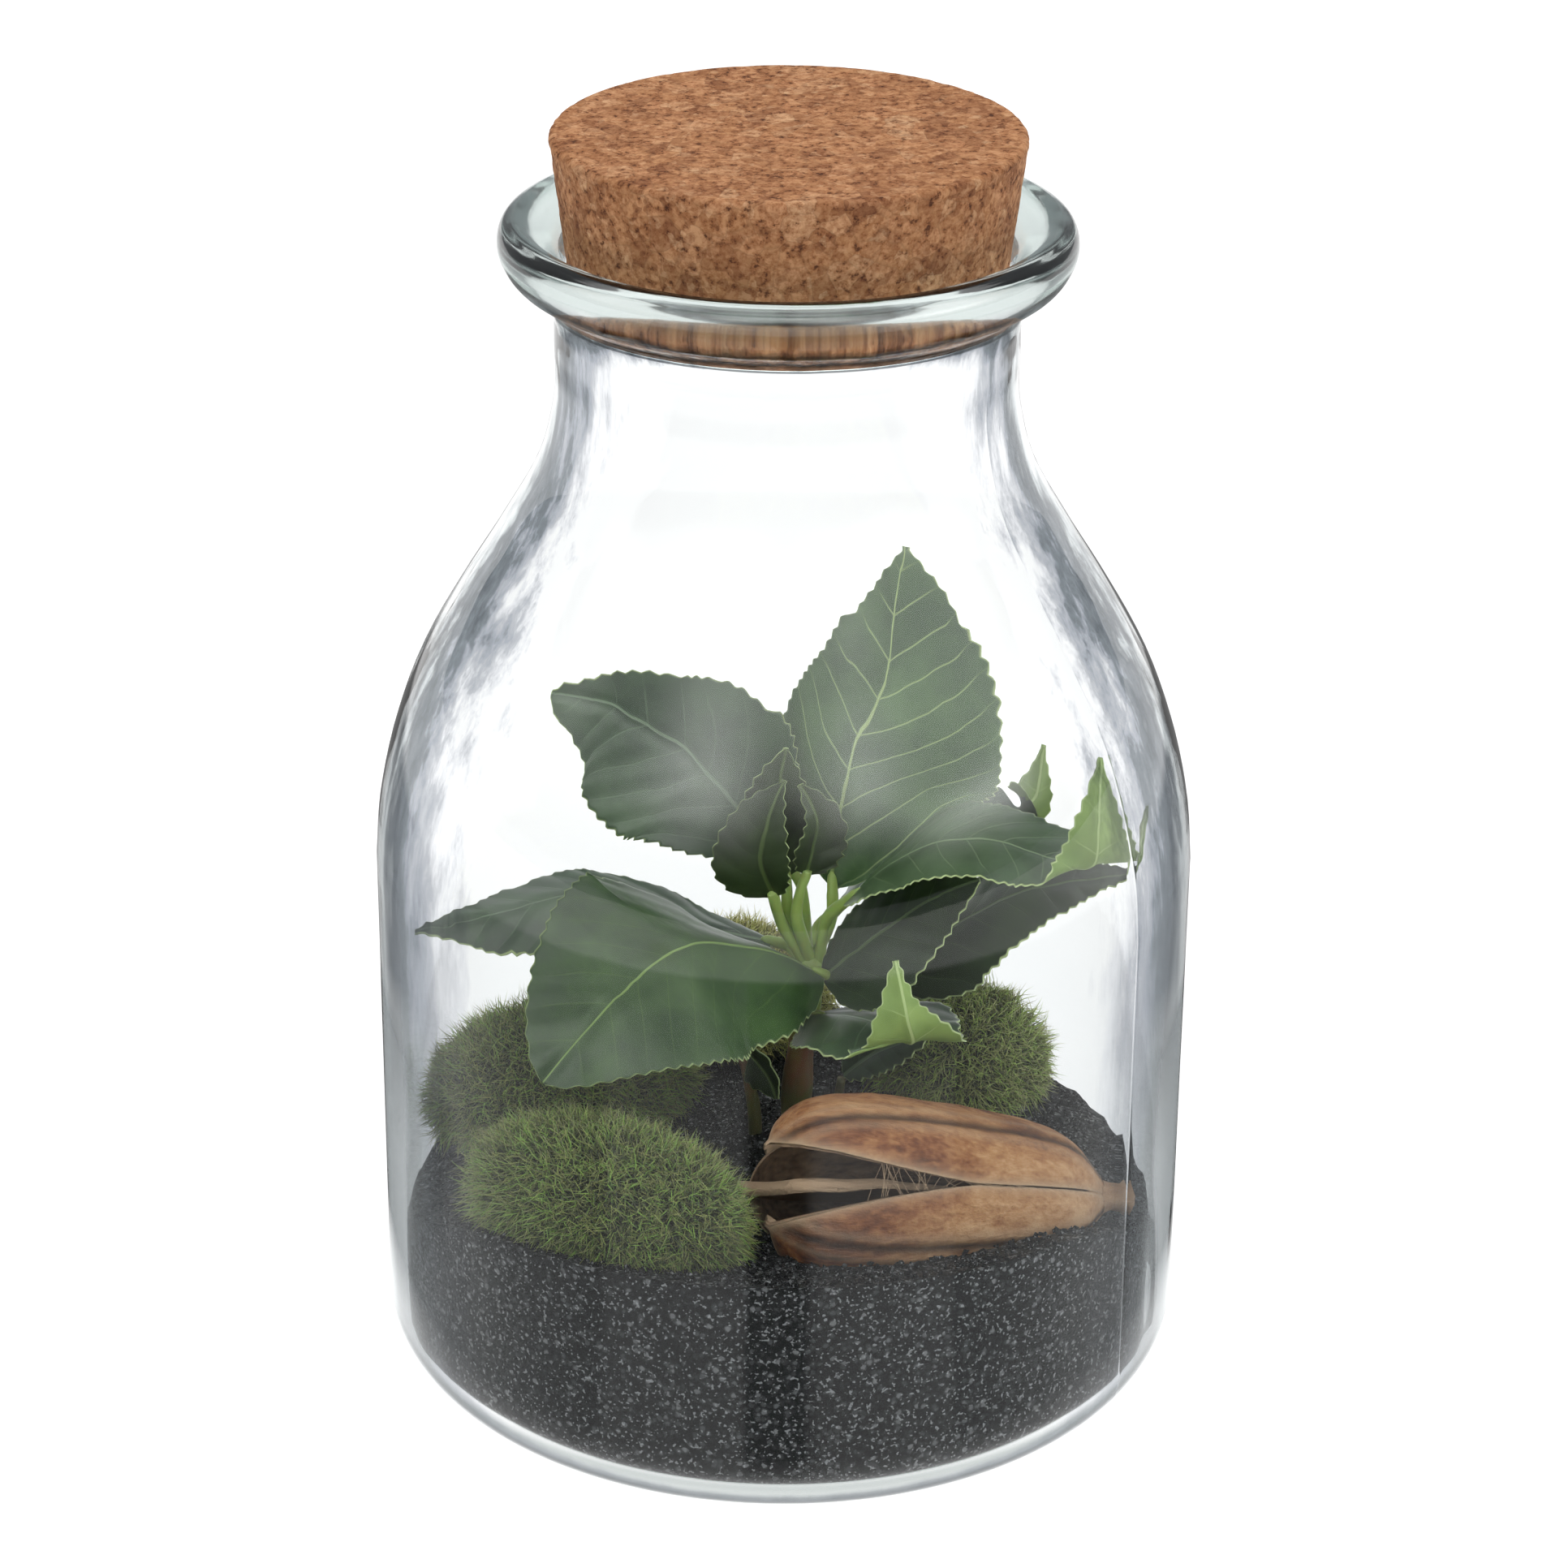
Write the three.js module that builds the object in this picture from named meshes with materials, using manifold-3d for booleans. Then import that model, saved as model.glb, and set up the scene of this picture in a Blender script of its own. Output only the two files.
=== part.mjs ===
// A corked glass jar, 140 mm across, holding a small planted landscape: dark grit, four
// moss-covered stones, a dried seed pod and a leafy plant with toothed leaves.
// Millimetres, +Z up. The origin is the centre of the jar's underside and -Y is the front.
import * as THREE from "three";
import { mergeVertices } from "three/addons/utils/BufferGeometryUtils.js";
import Module from "manifold-3d";

const wasm = await Module();
wasm.setup();

// Driving dimensions
const GAP = 0.3;               // air between touching pieces
const HOLE_GAP = 0.55;         // play of a stem in its hole in the grit
const ROUND_SIDES = 40;        // facets round the jar, its cork and its sand
const JAR_R = 70;              // outer radius of the jar's body
const WALL = 3;                // glass thickness
const BODY_R = JAR_R - WALL;   // inner radius of the jar's body
const FLOOR_Z = 6;             // top of the glass floor
const CORK_TOP = 220.6;        // overall height
const CORK_BOTTOM = 193;
const CORK_R_TOP = 38.8;
const CORK_R_BOTTOM = 35.4;
const CORK_EDGE = 1.2;         // rounding of the cork's two edges
const SAND_CENTRE = 34;        // height of the grit in the middle of the jar
const SAND_FRONT = 45;         // height of the bank against the front glass
const SAND_SIDE = 24;          // height against the glass at the sides
const SAND_BACK = 28;          // height against the glass at the back
const BLADE = 0.8;             // thickness of a leaf at its rib
const BLADE_EDGE = 0.62;       // thickness of a leaf at its margin
const STALK_HALF = 0.9;        // half width of a leaf where it leaves its stalk
const STALK_GAP = 0.5;         // between the end of a stalk and its leaf
const TOOTH = 1.0;             // how far a tooth stands out of the margin
const TUFT_LENGTH = 3.8;       // how far a tuft of moss stands out of its stone
const STONE_COLUMNS = 30;      // facets round a stone, an even number: a tuft on every other one
const STONE_ROWS = 14;         // rows of facets from the top of a stone to its bottom
const STONE_BED = 0.35;        // air between a stone and its print in the grit
const POD_BED = 0.6;           // air between the pod and its print
const POD_WALL = 1.3;          // thickness of the pod's dry shell

// Seeded random numbers, so that the moss always grows alike
function randomFrom(seed) {
  let state = seed;
  return function next() {
    state = (state * 1664525 + 1013904223) % 4294967296;
    return state / 4294967296;
  };
}

function smooth(x) {
  const t = Math.min(1, Math.max(0, x));
  return t * t * (3 - 2 * t);
}

// A closed geometry as a solid that can be cut and joined
function solidOf(geometry) {
  const bare = geometry.clone();
  bare.deleteAttribute("normal");
  bare.deleteAttribute("uv");
  const merged = mergeVertices(bare, 1e-4);
  const mesh = new wasm.Mesh({
    numProp: 3,
    vertProperties: new Float32Array(merged.attributes.position.array),
    triVerts: new Uint32Array(merged.index.array),
  });
  return new wasm.Manifold(mesh);
}

function geometryOf(solid) {
  const mesh = solid.getMesh();
  const geometry = new THREE.BufferGeometry();
  const points = new Float32Array(mesh.vertProperties);
  geometry.setAttribute("position", new THREE.BufferAttribute(points, 3));
  geometry.setIndex(new THREE.BufferAttribute(new Uint32Array(mesh.triVerts), 1));
  geometry.computeVertexNormals();
  return geometry;
}

// A profile of [radius, height] points turned about the upright axis
function turned(profile, sides) {
  const points = profile.map(([r, z]) => new THREE.Vector2(r, z));
  return new THREE.LatheGeometry(points, sides).rotateX(Math.PI / 2);
}

// A tube of the given radius along a curve, with flat ends
function tube(points, radius, sides, steps) {
  const section = new THREE.Shape();
  for (let i = 0; i < sides; i += 1) {
    const angle = (2 * Math.PI * i) / sides;
    section.lineTo(radius * Math.cos(angle), radius * Math.sin(angle));
  }
  const path = new THREE.CatmullRomCurve3(points.map((p) => new THREE.Vector3(...p)));
  return new THREE.ExtrudeGeometry(section, { steps, extrudePath: path, bevelEnabled: false });
}

// Two grids of points, row by row, become a closed sheet: the upper face, the lower face and
// the rim between them. Both faces are split into triangles alike.
function closedSheet(upper, lower) {
  const rows = upper.length;
  const columns = upper[0].length;
  const points = [...upper.flat(), ...lower.flat()];
  const at = (row, column, below) => row * columns + column + (below ? rows * columns : 0);
  const faces = [];
  const quad = (a, b, c, d) => faces.push(a, b, c, a, c, d);
  const end = columns - 1;
  for (let i = 0; i < rows - 1; i += 1) {
    for (let j = 0; j < columns - 1; j += 1) {
      quad(at(i, j), at(i, j + 1), at(i + 1, j + 1), at(i + 1, j));
      faces.push(at(i, j, true), at(i + 1, j + 1, true), at(i, j + 1, true));
      faces.push(at(i, j, true), at(i + 1, j, true), at(i + 1, j + 1, true));
    }
  }
  for (let i = 0; i < rows - 1; i += 1) {
    quad(at(i, 0), at(i + 1, 0), at(i + 1, 0, true), at(i, 0, true));
    quad(at(i + 1, end), at(i, end), at(i, end, true), at(i + 1, end, true));
  }
  for (let j = 0; j < columns - 1; j += 1) {
    quad(at(0, j + 1), at(0, j), at(0, j, true), at(0, j + 1, true));
    quad(at(rows - 1, j), at(rows - 1, j + 1), at(rows - 1, j + 1, true), at(rows - 1, j, true));
  }
  const geometry = new THREE.BufferGeometry();
  const flat = new Float32Array(points.flatMap((p) => [p.x, p.y, p.z]));
  geometry.setAttribute("position", new THREE.BufferAttribute(flat, 3));
  geometry.setIndex(faces);
  geometry.computeVertexNormals();
  return geometry;
}

// The jar: heel, straight body, shoulder, neck and a flared rim that slopes in to the bore
const JAR_OUTSIDE = [
  [0, 0], [59.5, 0], [65.6, 1.9], [69, 5.8], [JAR_R, 11], [JAR_R, 94], [69.1, 104], [66.4, 116],
  [62, 128], [55.4, 140], [48, 152], [41.4, 164], [38.5, 176], [38.5, 184], [40.2, 192],
  [43.8, 196.4], [46.9, 200], [47.4, 203], [46.2, 205.8],
];
const JAR_INSIDE = [
  [43.8, 206.4], [40.6, 204.4], [37.1, 201.2], [35.9, 193], [35.4, 184], [35.5, 176],
  [38.4, 164], [45, 152], [52.4, 140], [59, 128], [63.4, 116], [66.1, 104], [BODY_R, 94],
  [BODY_R, 13], [65.4, 8.6], [61, FLOOR_Z], [0, FLOOR_Z],
];

function jarGeometry() {
  return turned([...JAR_OUTSIDE, ...JAR_INSIDE], ROUND_SIDES);
}

// The cork: a tapered plug wedged in the bore, its edges slightly rounded
function corkGeometry() {
  return turned([
    [0, CORK_BOTTOM],
    [CORK_R_BOTTOM - CORK_EDGE, CORK_BOTTOM],
    [CORK_R_BOTTOM, CORK_BOTTOM + CORK_EDGE],
    [CORK_R_TOP, CORK_TOP - 1.5 * CORK_EDGE],
    [CORK_R_TOP - 0.4 * CORK_EDGE, CORK_TOP - 0.5 * CORK_EDGE],
    [CORK_R_TOP - 1.3 * CORK_EDGE, CORK_TOP],
    [0, CORK_TOP],
  ], ROUND_SIDES);
}

// The grit: its height falls to the sides and back and is banked up against the front glass
function sandHeight(x, y) {
  const r = Math.hypot(x, y);
  const front = r > 0 ? -y / r : 0;
  const side = r > 0 ? (x * x) / (r * r) : 0;
  const banked = SAND_BACK + (SAND_FRONT - SAND_BACK) * smooth(1.3 * front);
  const wall = banked - (SAND_BACK - SAND_SIDE) * side;
  const ripple = 0.7 * Math.sin(x / 8 + 1) * Math.cos(y / 7);
  const slope = SAND_CENTRE + (wall - SAND_CENTRE) * (r / BODY_R) ** 2.5;
  return slope + ripple * smooth((BODY_R - r) / 20);
}

const SAND_RINGS = [12, 24, 36, 46, 55, 62, BODY_R - GAP];
const SAND_HEEL = [[BODY_R - GAP, 13.1], [65.2, 8.8], [60.8, FLOOR_Z + GAP]];

function sandGeometry() {
  const points = [0, 0, sandHeight(0, 0)];
  const ring = (radius, heightAt) => {
    for (let i = 0; i < ROUND_SIDES; i += 1) {
      const angle = (2 * Math.PI * i) / ROUND_SIDES;
      const x = radius * Math.sin(angle);
      const y = -radius * Math.cos(angle);
      points.push(x, y, heightAt(x, y));
    }
  };
  SAND_RINGS.forEach((radius) => ring(radius, sandHeight));
  SAND_HEEL.forEach(([radius, z]) => ring(radius, () => z));
  points.push(0, 0, FLOOR_Z + GAP);
  const rings = SAND_RINGS.length + SAND_HEEL.length;
  const at = (k, i) => 1 + k * ROUND_SIDES + (i % ROUND_SIDES);
  const faces = [];
  for (let i = 0; i < ROUND_SIDES; i += 1) {
    faces.push(0, at(0, i), at(0, i + 1));
    for (let k = 0; k < rings - 1; k += 1) {
      faces.push(at(k, i), at(k + 1, i), at(k + 1, i + 1));
      faces.push(at(k, i), at(k + 1, i + 1), at(k, i + 1));
    }
    faces.push(at(rings - 1, i), 1 + rings * ROUND_SIDES, at(rings - 1, i + 1));
  }
  const geometry = new THREE.BufferGeometry();
  geometry.setAttribute("position", new THREE.BufferAttribute(new Float32Array(points), 3));
  geometry.setIndex(faces);
  return geometry;
}

// The moss stones: centre, half axes and the turn of the long axis from +X, in degrees
const STONES = {
  moss_stone_front_left: { centre: [-28, -39, 44.5], half: [23, 13.5, 12.5], turn: -27, seed: 11 },
  moss_stone_back_left: { centre: [-40, 14, 38.5], half: [22, 15.5, 13.5], turn: 18, seed: 23 },
  moss_stone_back_right: { centre: [34, 23, 40], half: [15, 12, 12], turn: -20, seed: 37 },
  moss_stone_back_centre: { centre: [-8, 43, 40], half: [15, 12, 12], turn: 5, seed: 53 },
};

function stonePoint(stone, direction, grow) {
  const [a, b, c] = stone.half;
  const wave = 0.04 * Math.sin(3 * direction.x + stone.seed) + 0.03 * Math.cos(4 * direction.y);
  const lump = 1 + wave;
  return new THREE.Vector3(
    direction.x * (a * lump + grow),
    direction.y * (b * lump + grow),
    direction.z * (c * lump + grow),
  );
}

// A lumpy stone; growAt(direction, column, row) says how far each point stands out of it
function stoneGeometry(stone, growAt) {
  const ball = new THREE.SphereGeometry(1, STONE_COLUMNS, STONE_ROWS).rotateX(Math.PI / 2);
  const position = ball.attributes.position;
  for (let i = 0; i < position.count; i += 1) {
    const column = i % (STONE_COLUMNS + 1);
    const row = Math.floor(i / (STONE_COLUMNS + 1));
    const direction = new THREE.Vector3().fromBufferAttribute(position, i).normalize();
    const point = stonePoint(stone, direction, growAt(direction, column % STONE_COLUMNS, row));
    position.setXYZ(i, point.x, point.y, point.z);
  }
  ball.deleteAttribute("normal");
  ball.deleteAttribute("uv");
  return mergeVertices(ball, 1e-4);
}

// The moss covers the stone above the grit: in every second row every second point is drawn
// out into a tuft, some longer than others
function mossGeometry(stone) {
  const random = randomFrom(stone.seed);
  const points = STONE_COLUMNS * (STONE_ROWS + 1);
  const lengths = Array.from({ length: points }, () => TUFT_LENGTH * (0.55 + 0.45 * random()));
  const geometry = stoneGeometry(stone, (direction, column, row) => {
    const staggered = column + Math.floor(row / 2);
    const drawn = row % 2 === 1 && staggered % 2 === 0 && direction.z > -0.05;
    return drawn ? lengths[row * STONE_COLUMNS + column] : 0;
  });
  geometry.computeVertexNormals();
  return geometry;
}

function placeStone(object, stone) {
  object.position.set(...stone.centre);
  object.rotation.z = (stone.turn * Math.PI) / 180;
  return object;
}

// The seed pod lies on its side, its mouth to the left and its stalk to the right. Along its
// own x axis the mouth is at 0; its own z axis points out of the slit that faces the front.
const POD_MOUTH = new THREE.Vector3(-4, -38, 47.5);
const POD_END = new THREE.Vector3(53, -23, 37.5);
const POD_SLIT_FACES = new THREE.Vector3(0, -0.9, 0.42);
const POD_LENGTH = 62;
const POD_PROFILE = [
  [0, 6.4], [3, 9.4], [7, 12.8], [12, 15.4], [18, 16.2], [26, 15.5], [35, 14.4], [45, 13.1],
  [52, 11.4], [56.5, 8.8], [59.5, 5.2], [POD_LENGTH, 2.6],
];
const POD_LOBE = 0.03;         // how much each of the three valves bulges, as a share
const POD_GROOVE = 0.05;       // depth of the groove along the middle of a valve, as a share
const POD_STALK = 4.6;         // length of the stub of stalk past the pod's end
const POD_STALK_R = [1.7, 2.5];  // its radius at the cut end and at the pod
const POD_STALK_ROOT = 1.5;    // how far it runs into the pod
const POD_SIDES = 24;
const SLIT_MOUTH = 7.4;        // half width of a slit at the mouth
const SLIT_THIN = 0.25;        // half width where it is nearly closed
const SLIT_FADE = 17;          // the slit narrows by a third over about 7 mm
const SLIT_END = 53;
const SEPTUM = 0.9;            // thickness of the rib inside each valve
const SEPTUM_DEPTH = 4.6;      // how far it stands in from the shell

function podRadius(x, angle) {
  let i = 0;
  while (i < POD_PROFILE.length - 2 && POD_PROFILE[i + 1][0] < x) {
    i += 1;
  }
  const [x0, r0] = POD_PROFILE[i];
  const [x1, r1] = POD_PROFILE[i + 1];
  const radius = r0 + ((r1 - r0) * (x - x0)) / (x1 - x0);
  const lobes = 1 + POD_LOBE * Math.cos(3 * (angle - Math.PI));
  const groove = POD_GROOVE * Math.exp(-((Math.cos(1.5 * angle) / 0.16) ** 2));
  return radius * (lobes - groove * smooth(x / 12) * smooth((POD_LENGTH - x) / 10));
}

// Rings of points along the pod, closed by a point at each end; angle 0 looks out of the slit
function podSkin(stations, inset, lobed) {
  const points = [stations[0], 0, 0];
  stations.forEach((x) => {
    for (let i = 0; i < POD_SIDES; i += 1) {
      const angle = (2 * Math.PI * i) / POD_SIDES;
      const base = lobed ? podRadius(x, angle) : podRadius(x, Math.PI) * 1.02;
      const r = Math.max(0.8, base - inset);
      points.push(x, r * Math.sin(angle), r * Math.cos(angle));
    }
  });
  const last = points.length / 3;
  points.push(stations[stations.length - 1], 0, 0);
  const at = (k, i) => 1 + k * POD_SIDES + (i % POD_SIDES);
  const faces = [];
  for (let i = 0; i < POD_SIDES; i += 1) {
    faces.push(0, at(0, i), at(0, i + 1));
    for (let k = 0; k < stations.length - 1; k += 1) {
      faces.push(at(k, i), at(k + 1, i), at(k + 1, i + 1));
      faces.push(at(k, i), at(k + 1, i + 1), at(k, i + 1));
    }
    faces.push(at(stations.length - 1, i), last, at(stations.length - 1, i + 1));
  }
  const geometry = new THREE.BufferGeometry();
  geometry.setAttribute("position", new THREE.BufferAttribute(new Float32Array(points), 3));
  geometry.setIndex(faces);
  return geometry;
}

// A wedge that opens one slit: wide at the mouth and closing along the pod
function slitCutter(angle) {
  const outline = new THREE.Shape();
  const stations = [-3, 3, 9, 16, 24, 34, 44, SLIT_END];
  const half = (x) => Math.max(SLIT_THIN, SLIT_MOUTH * Math.exp(-Math.max(0, x) / SLIT_FADE));
  stations.forEach((x) => outline.lineTo(x, half(x)));
  stations.slice().reverse().forEach((x) => outline.lineTo(x, -half(x)));
  const wedge = new THREE.ExtrudeGeometry(outline, { depth: 24, steps: 1, bevelEnabled: false });
  return wedge.rotateX(-angle);
}

// The rib that runs along the inside of a valve, half way between two slits
function septumPlate(angle) {
  const outline = new THREE.Shape();
  const stations = [1.5, 7, 12, 18, 26, 35, 45, 51];
  const depth = (x) => SEPTUM_DEPTH * Math.sin((Math.PI * (x + 4)) / POD_LENGTH);
  const inside = (x) => podRadius(x, angle) - POD_WALL - depth(x);
  stations.forEach((x) => outline.lineTo(x, podRadius(x, angle) - 0.5 * POD_WALL));
  stations.slice().reverse().forEach((x) => outline.lineTo(x, inside(x)));
  const plate = new THREE.ExtrudeGeometry(outline, { depth: SEPTUM, steps: 1, bevelEnabled: false });
  plate.translate(0, 0, -SEPTUM / 2);
  return plate.rotateX(Math.PI / 2 - angle);
}

function podGeometry() {
  const outer = POD_PROFILE.map(([x]) => x);
  const inner = [-2, 3, 7, 12, 18, 26, 35, 45, 51, 54.5];
  let pod = solidOf(podSkin(outer, 0, true)).subtract(solidOf(podSkin(inner, POD_WALL, true)));
  for (let k = 0; k < 3; k += 1) {
    pod = pod.subtract(solidOf(slitCutter((2 * Math.PI * k) / 3)));
  }
  for (let k = 0; k < 3; k += 1) {
    pod = pod.add(solidOf(septumPlate(Math.PI / 3 + (2 * Math.PI * k) / 3)));
  }
  const length = POD_STALK + POD_STALK_ROOT;
  const stalk = new THREE.CylinderGeometry(...POD_STALK_R, length, 10).rotateZ(-Math.PI / 2);
  stalk.translate(POD_LENGTH + (POD_STALK - POD_STALK_ROOT) / 2, 0, 0);
  return geometryOf(pod.add(solidOf(stalk)));
}

function placePod(object) {
  const along = POD_END.clone().sub(POD_MOUTH).normalize();
  const out = POD_SLIT_FACES.clone().addScaledVector(along, -POD_SLIT_FACES.dot(along)).normalize();
  const across = new THREE.Vector3().crossVectors(out, along);
  object.quaternion.setFromRotationMatrix(new THREE.Matrix4().makeBasis(along, across, out));
  object.position.copy(POD_MOUTH);
  return object;
}

// The leaves. rib: points along the midrib from the stalk to the tip. side: which way the
// blade spreads at each of those points. half: half width at the widest. shape: where the
// leaf is widest and how pointed it is. fold: degrees between each half and the flat, at the
// stalk and at the tip. skew: how wide the left and right halves are, at the stalk and tip.
// face: 1 or -1, on which side the upper face lies. teeth: teeth on each margin.
const LEAVES = {
  leaf_tall_right: {
    rib: [[9, 9, 80], [11, 13, 100], [17, 17, 118], [21, 22, 141]],
    side: [[0.9, -0.4, -0.1], [0.9, -0.4, -0.15], [0.9, -0.4, -0.2], [0.9, -0.3, -0.3]],
    half: 25, shape: [0.8, 1], fold: [-26, -18], skew: [0.95, 0.9, 1, 1], face: -1, teeth: 10,
  },
  leaf_upper_left: {
    rib: [[-3, 14, 86], [-10, 17, 94], [-16, 18, 101], [-24, 18, 107], [-31, 17, 112],
      [-40, 14, 115]],
    side: [[0.68, 0.3, 0.66], [0.68, 0.3, 0.66], [0.66, 0.3, 0.68], [0.6, 0.3, 0.7],
      [0.5, 0.3, 0.8], [0.5, 0.3, 0.8]],
    half: 18.5, shape: [0.85, 0.65], fold: [12, 8], skew: [0.85, 1.4, 1.15, 0.4], face: -1, teeth: 10,
  },
  leaf_young_front: {
    rib: [[-2, 4, 81], [-4, 1, 89], [-3, 0, 97], [0, 2, 104]],
    side: [[1, -0.2, 0], [1, -0.2, 0.1], [1, -0.2, 0.1], [1, -0.2, 0.1]],
    half: 7, shape: [0.7, 0.9], fold: [18, 18], skew: [1.1, 1, 0.7, 0.7], face: -1, teeth: 6,
  },
  leaf_young_right: {
    rib: [[4, 4.6, 85], [5, 4, 90], [6, 3, 96], [3, 4, 102]],
    side: [[1, 0.2, 0], [1, 0.2, 0.1], [1, 0.2, 0.1], [1, 0.2, 0.1]],
    half: 5.5, shape: [0.75, 0.8], fold: [18, 18], skew: [0.7, 0.5, 1, 1], face: -1, teeth: 5,
  },
  leaf_young_back: {
    rib: [[0, 8, 83], [-1, 8, 91], [-1, 8, 99], [0, 9, 107]],
    side: [[1, 0.1, 0], [1, 0.1, 0.1], [1, 0.1, 0.1], [1, 0.1, 0.1]],
    half: 6.5, shape: [0.75, 0.8], fold: [10, 10], skew: [1, 1, 1, 1], face: -1, teeth: 6,
  },
  leaf_right_arched: {
    rib: [[11, 4, 80], [17, -1, 89], [24, -5, 95], [30, -8, 98], [37, -11, 99], [45, -15, 98],
      [51, -21, 100], [52, -23, 108], [52, -20, 119]],
    side: [[0.3, 0.95, 0], [0.3, 0.95, 0], [0.22, 0.97, 0], [0.22, 0.97, 0], [0.25, 0.95, 0],
      [0.5, 0.85, 0], [1, 0.3, 0.1], [1, 0.1, 0.1], [1, 0.1, 0]],
    half: 14, shape: [0.7, 1], fold: [-3, -3], skew: [1, 1, 1, 1], face: 1, teeth: 11,
  },
  leaf_right_lower: {
    rib: [[17, 6, 66], [28, 5, 73.5], [35, 4, 79], [42, 3, 83], [49, 2, 85], [55, 2, 86],
      [61, 3, 88], [63, 4, 99]],
    side: [[0.1, 0.85, 0.3], [0.1, 0.85, 0.3], [0.1, 0.85, 0.3], [0.1, 0.85, 0.3],
      [0.1, 0.85, 0.3], [0.3, 0.8, 0.3], [0.5, 0.7, 0.3], [0.6, 0.6, 0]],
    half: 16, shape: [0.5, 1.5], fold: [-18, -5], skew: [1, 1, 0.8, 0.6], face: 1, teeth: 10,
  },
  leaf_right_back: {
    rib: [[9, 17.5, 71], [18, 24, 78], [30, 29, 82], [40, 33, 83.5], [45, 35, 85], [47, 36, 95]],
    side: [[0.3, 0.9, 0.1], [0.3, 0.9, 0.1], [0.3, 0.9, 0.1], [0.4, 0.8, 0.1], [1, 0.3, 0],
      [1, 0, 0]],
    half: 13, shape: [0.6, 1.2], fold: [-5, -5], skew: [1, 1, 1, 1], face: 1, teeth: 9,
  },
  leaf_left_front: {
    rib: [[2.5, 0, 70.5], [-3, -6, 76], [-11, -12, 80], [-18, -19, 82], [-25, -24, 79], [-32, -28, 73],
      [-40, -32, 64]],
    side: [[-0.3, 0.9, 0.1], [-0.35, 0.9, 0.15], [-0.4, 0.85, 0.3], [-0.5, 0.7, 0.48],
      [-0.5, 0.66, 0.55], [-0.5, 0.6, 0.6], [-0.55, 0.4, 0.65]],
    half: 21, shape: [0.9, 0.7], fold: [-30, 0], skew: [1, 1, 1, 1.2], face: -1, teeth: 11,
  },
  leaf_left_back: {
    rib: [[-2, 12.5, 67.5], [-12, 11, 71], [-27, 9, 77], [-39, 7, 79], [-52, 5, 76], [-65, 2, 75]],
    side: [[0, 1, 0.1], [0, 1, 0.1], [0, 1, 0.1], [0, 1, 0.1], [0, 1, 0.1], [0, 1, 0.1]],
    half: 16, shape: [0.85, 0.9], fold: [-20, -10], skew: [1, 1, 1, 1], face: -1, teeth: 10,
  },
  leaf_front_curled: {
    rib: [[6, 3.5, 58.5], [12, -5, 62.5], [17.5, -14, 65.5], [22, -21, 67], [21, -24, 73],
      [19, -22, 82]],
    side: [[0.9, 0.4, 0.2], [0.95, 0.3, 0.1], [1, 0.25, 0], [1, 0.2, 0], [1, 0.1, 0], [1, 0, 0]],
    half: 16.5, shape: [0.75, 0.9], fold: [-8, -5], skew: [1, 0.7, 1, 1], face: 1, teeth: 9,
  },
  leaf_small_hanging: {
    rib: [[-5.6, 5.4, 49.6], [-4, 4, 48.6], [-2, 2, 46], [-1, 1, 43]],
    side: [[0.6, -0.5, 0.6], [0.6, -0.5, 0.6], [0.6, -0.5, 0.6], [0.6, -0.5, 0.6]],
    half: 3.5, shape: [0.8, 0.8], fold: [15, 15], skew: [1, 1, 1, 1], face: 1, teeth: 5,
  },
  leaf_right_under: {
    rib: [[11, 12, 42], [16, 9, 48], [21, 6, 52], [27, 2, 57]],
    side: [[-0.3, 0.8, 0.5], [-0.3, 0.8, 0.5], [-0.3, 0.8, 0.5], [-0.3, 0.8, 0.5]],
    half: 7.5, shape: [0.8, 0.8], fold: [0, 0], skew: [1, 1, 1, 1], face: 1, teeth: 7,
  },
  leaf_right_inner: {
    rib: [[10, 1.5, 69.5], [17, 0, 76], [26, -1, 83], [34, -1, 87]],
    side: [[-0.3, 0.8, 0.4], [-0.2, 0.85, 0.4], [-0.1, 0.85, 0.4], [0, 0.85, 0.4]],
    half: 9.5, shape: [0.75, 0.8], fold: [-10, -5], skew: [1, 1, 0.8, 0.8], face: 1, teeth: 8,
  },
};

const BLADE_COLUMNS = [-1, -0.5, 0, 0.5, 1];

function curveThrough(points) {
  const vectors = points.map((p) => new THREE.Vector3(...p));
  return new THREE.CatmullRomCurve3(vectors, false, "catmullrom", 0.5);
}

// The rib, the across direction and the upright of the blade at t, from 0 at the stalk to 1
function leafFrame(leaf, t) {
  const rib = curveThrough(leaf.rib);
  const along = rib.getTangent(t);
  const across = curveThrough(leaf.side).getPoint(t);
  across.addScaledVector(along, -across.dot(along)).normalize();
  const up = new THREE.Vector3().crossVectors(along, across).multiplyScalar(leaf.face);
  return { origin: rib.getPoint(t), across, up };
}

// One row of the blade at t; toothed rows reach past the notches between them
function bladeRow(leaf, t, toothed) {
  const { origin, across, up } = leafFrame(leaf, t);
  const outline = leaf.half * Math.sin(Math.PI * t ** leaf.shape[0]) ** leaf.shape[1];
  const width = Math.max(t < 0.5 ? STALK_HALF : 0.5, Number.isNaN(outline) ? 0 : outline);
  const fold = THREE.MathUtils.degToRad(THREE.MathUtils.lerp(leaf.fold[0], leaf.fold[1], t));
  return BLADE_COLUMNS.map((s) => {
    const first = s < 0 ? 0 : 2;
    const skew = THREE.MathUtils.lerp(leaf.skew[first], leaf.skew[first + 1], t);
    const tooth = toothed && Math.abs(s) === 1 ? TOOTH : 0;
    const reach = Math.abs(s) * Math.max(width * skew, 0.5) + tooth;
    const point = origin.clone();
    point.addScaledVector(across, Math.sign(s) * reach * Math.cos(fold));
    point.addScaledVector(up, reach * Math.sin(fold));
    const half = THREE.MathUtils.lerp(BLADE, BLADE_EDGE, Math.abs(s)) / 2;
    const upper = point.clone().addScaledVector(up, half);
    const lower = point.clone().addScaledVector(up, -half);
    return { upper, lower };
  });
}

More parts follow.
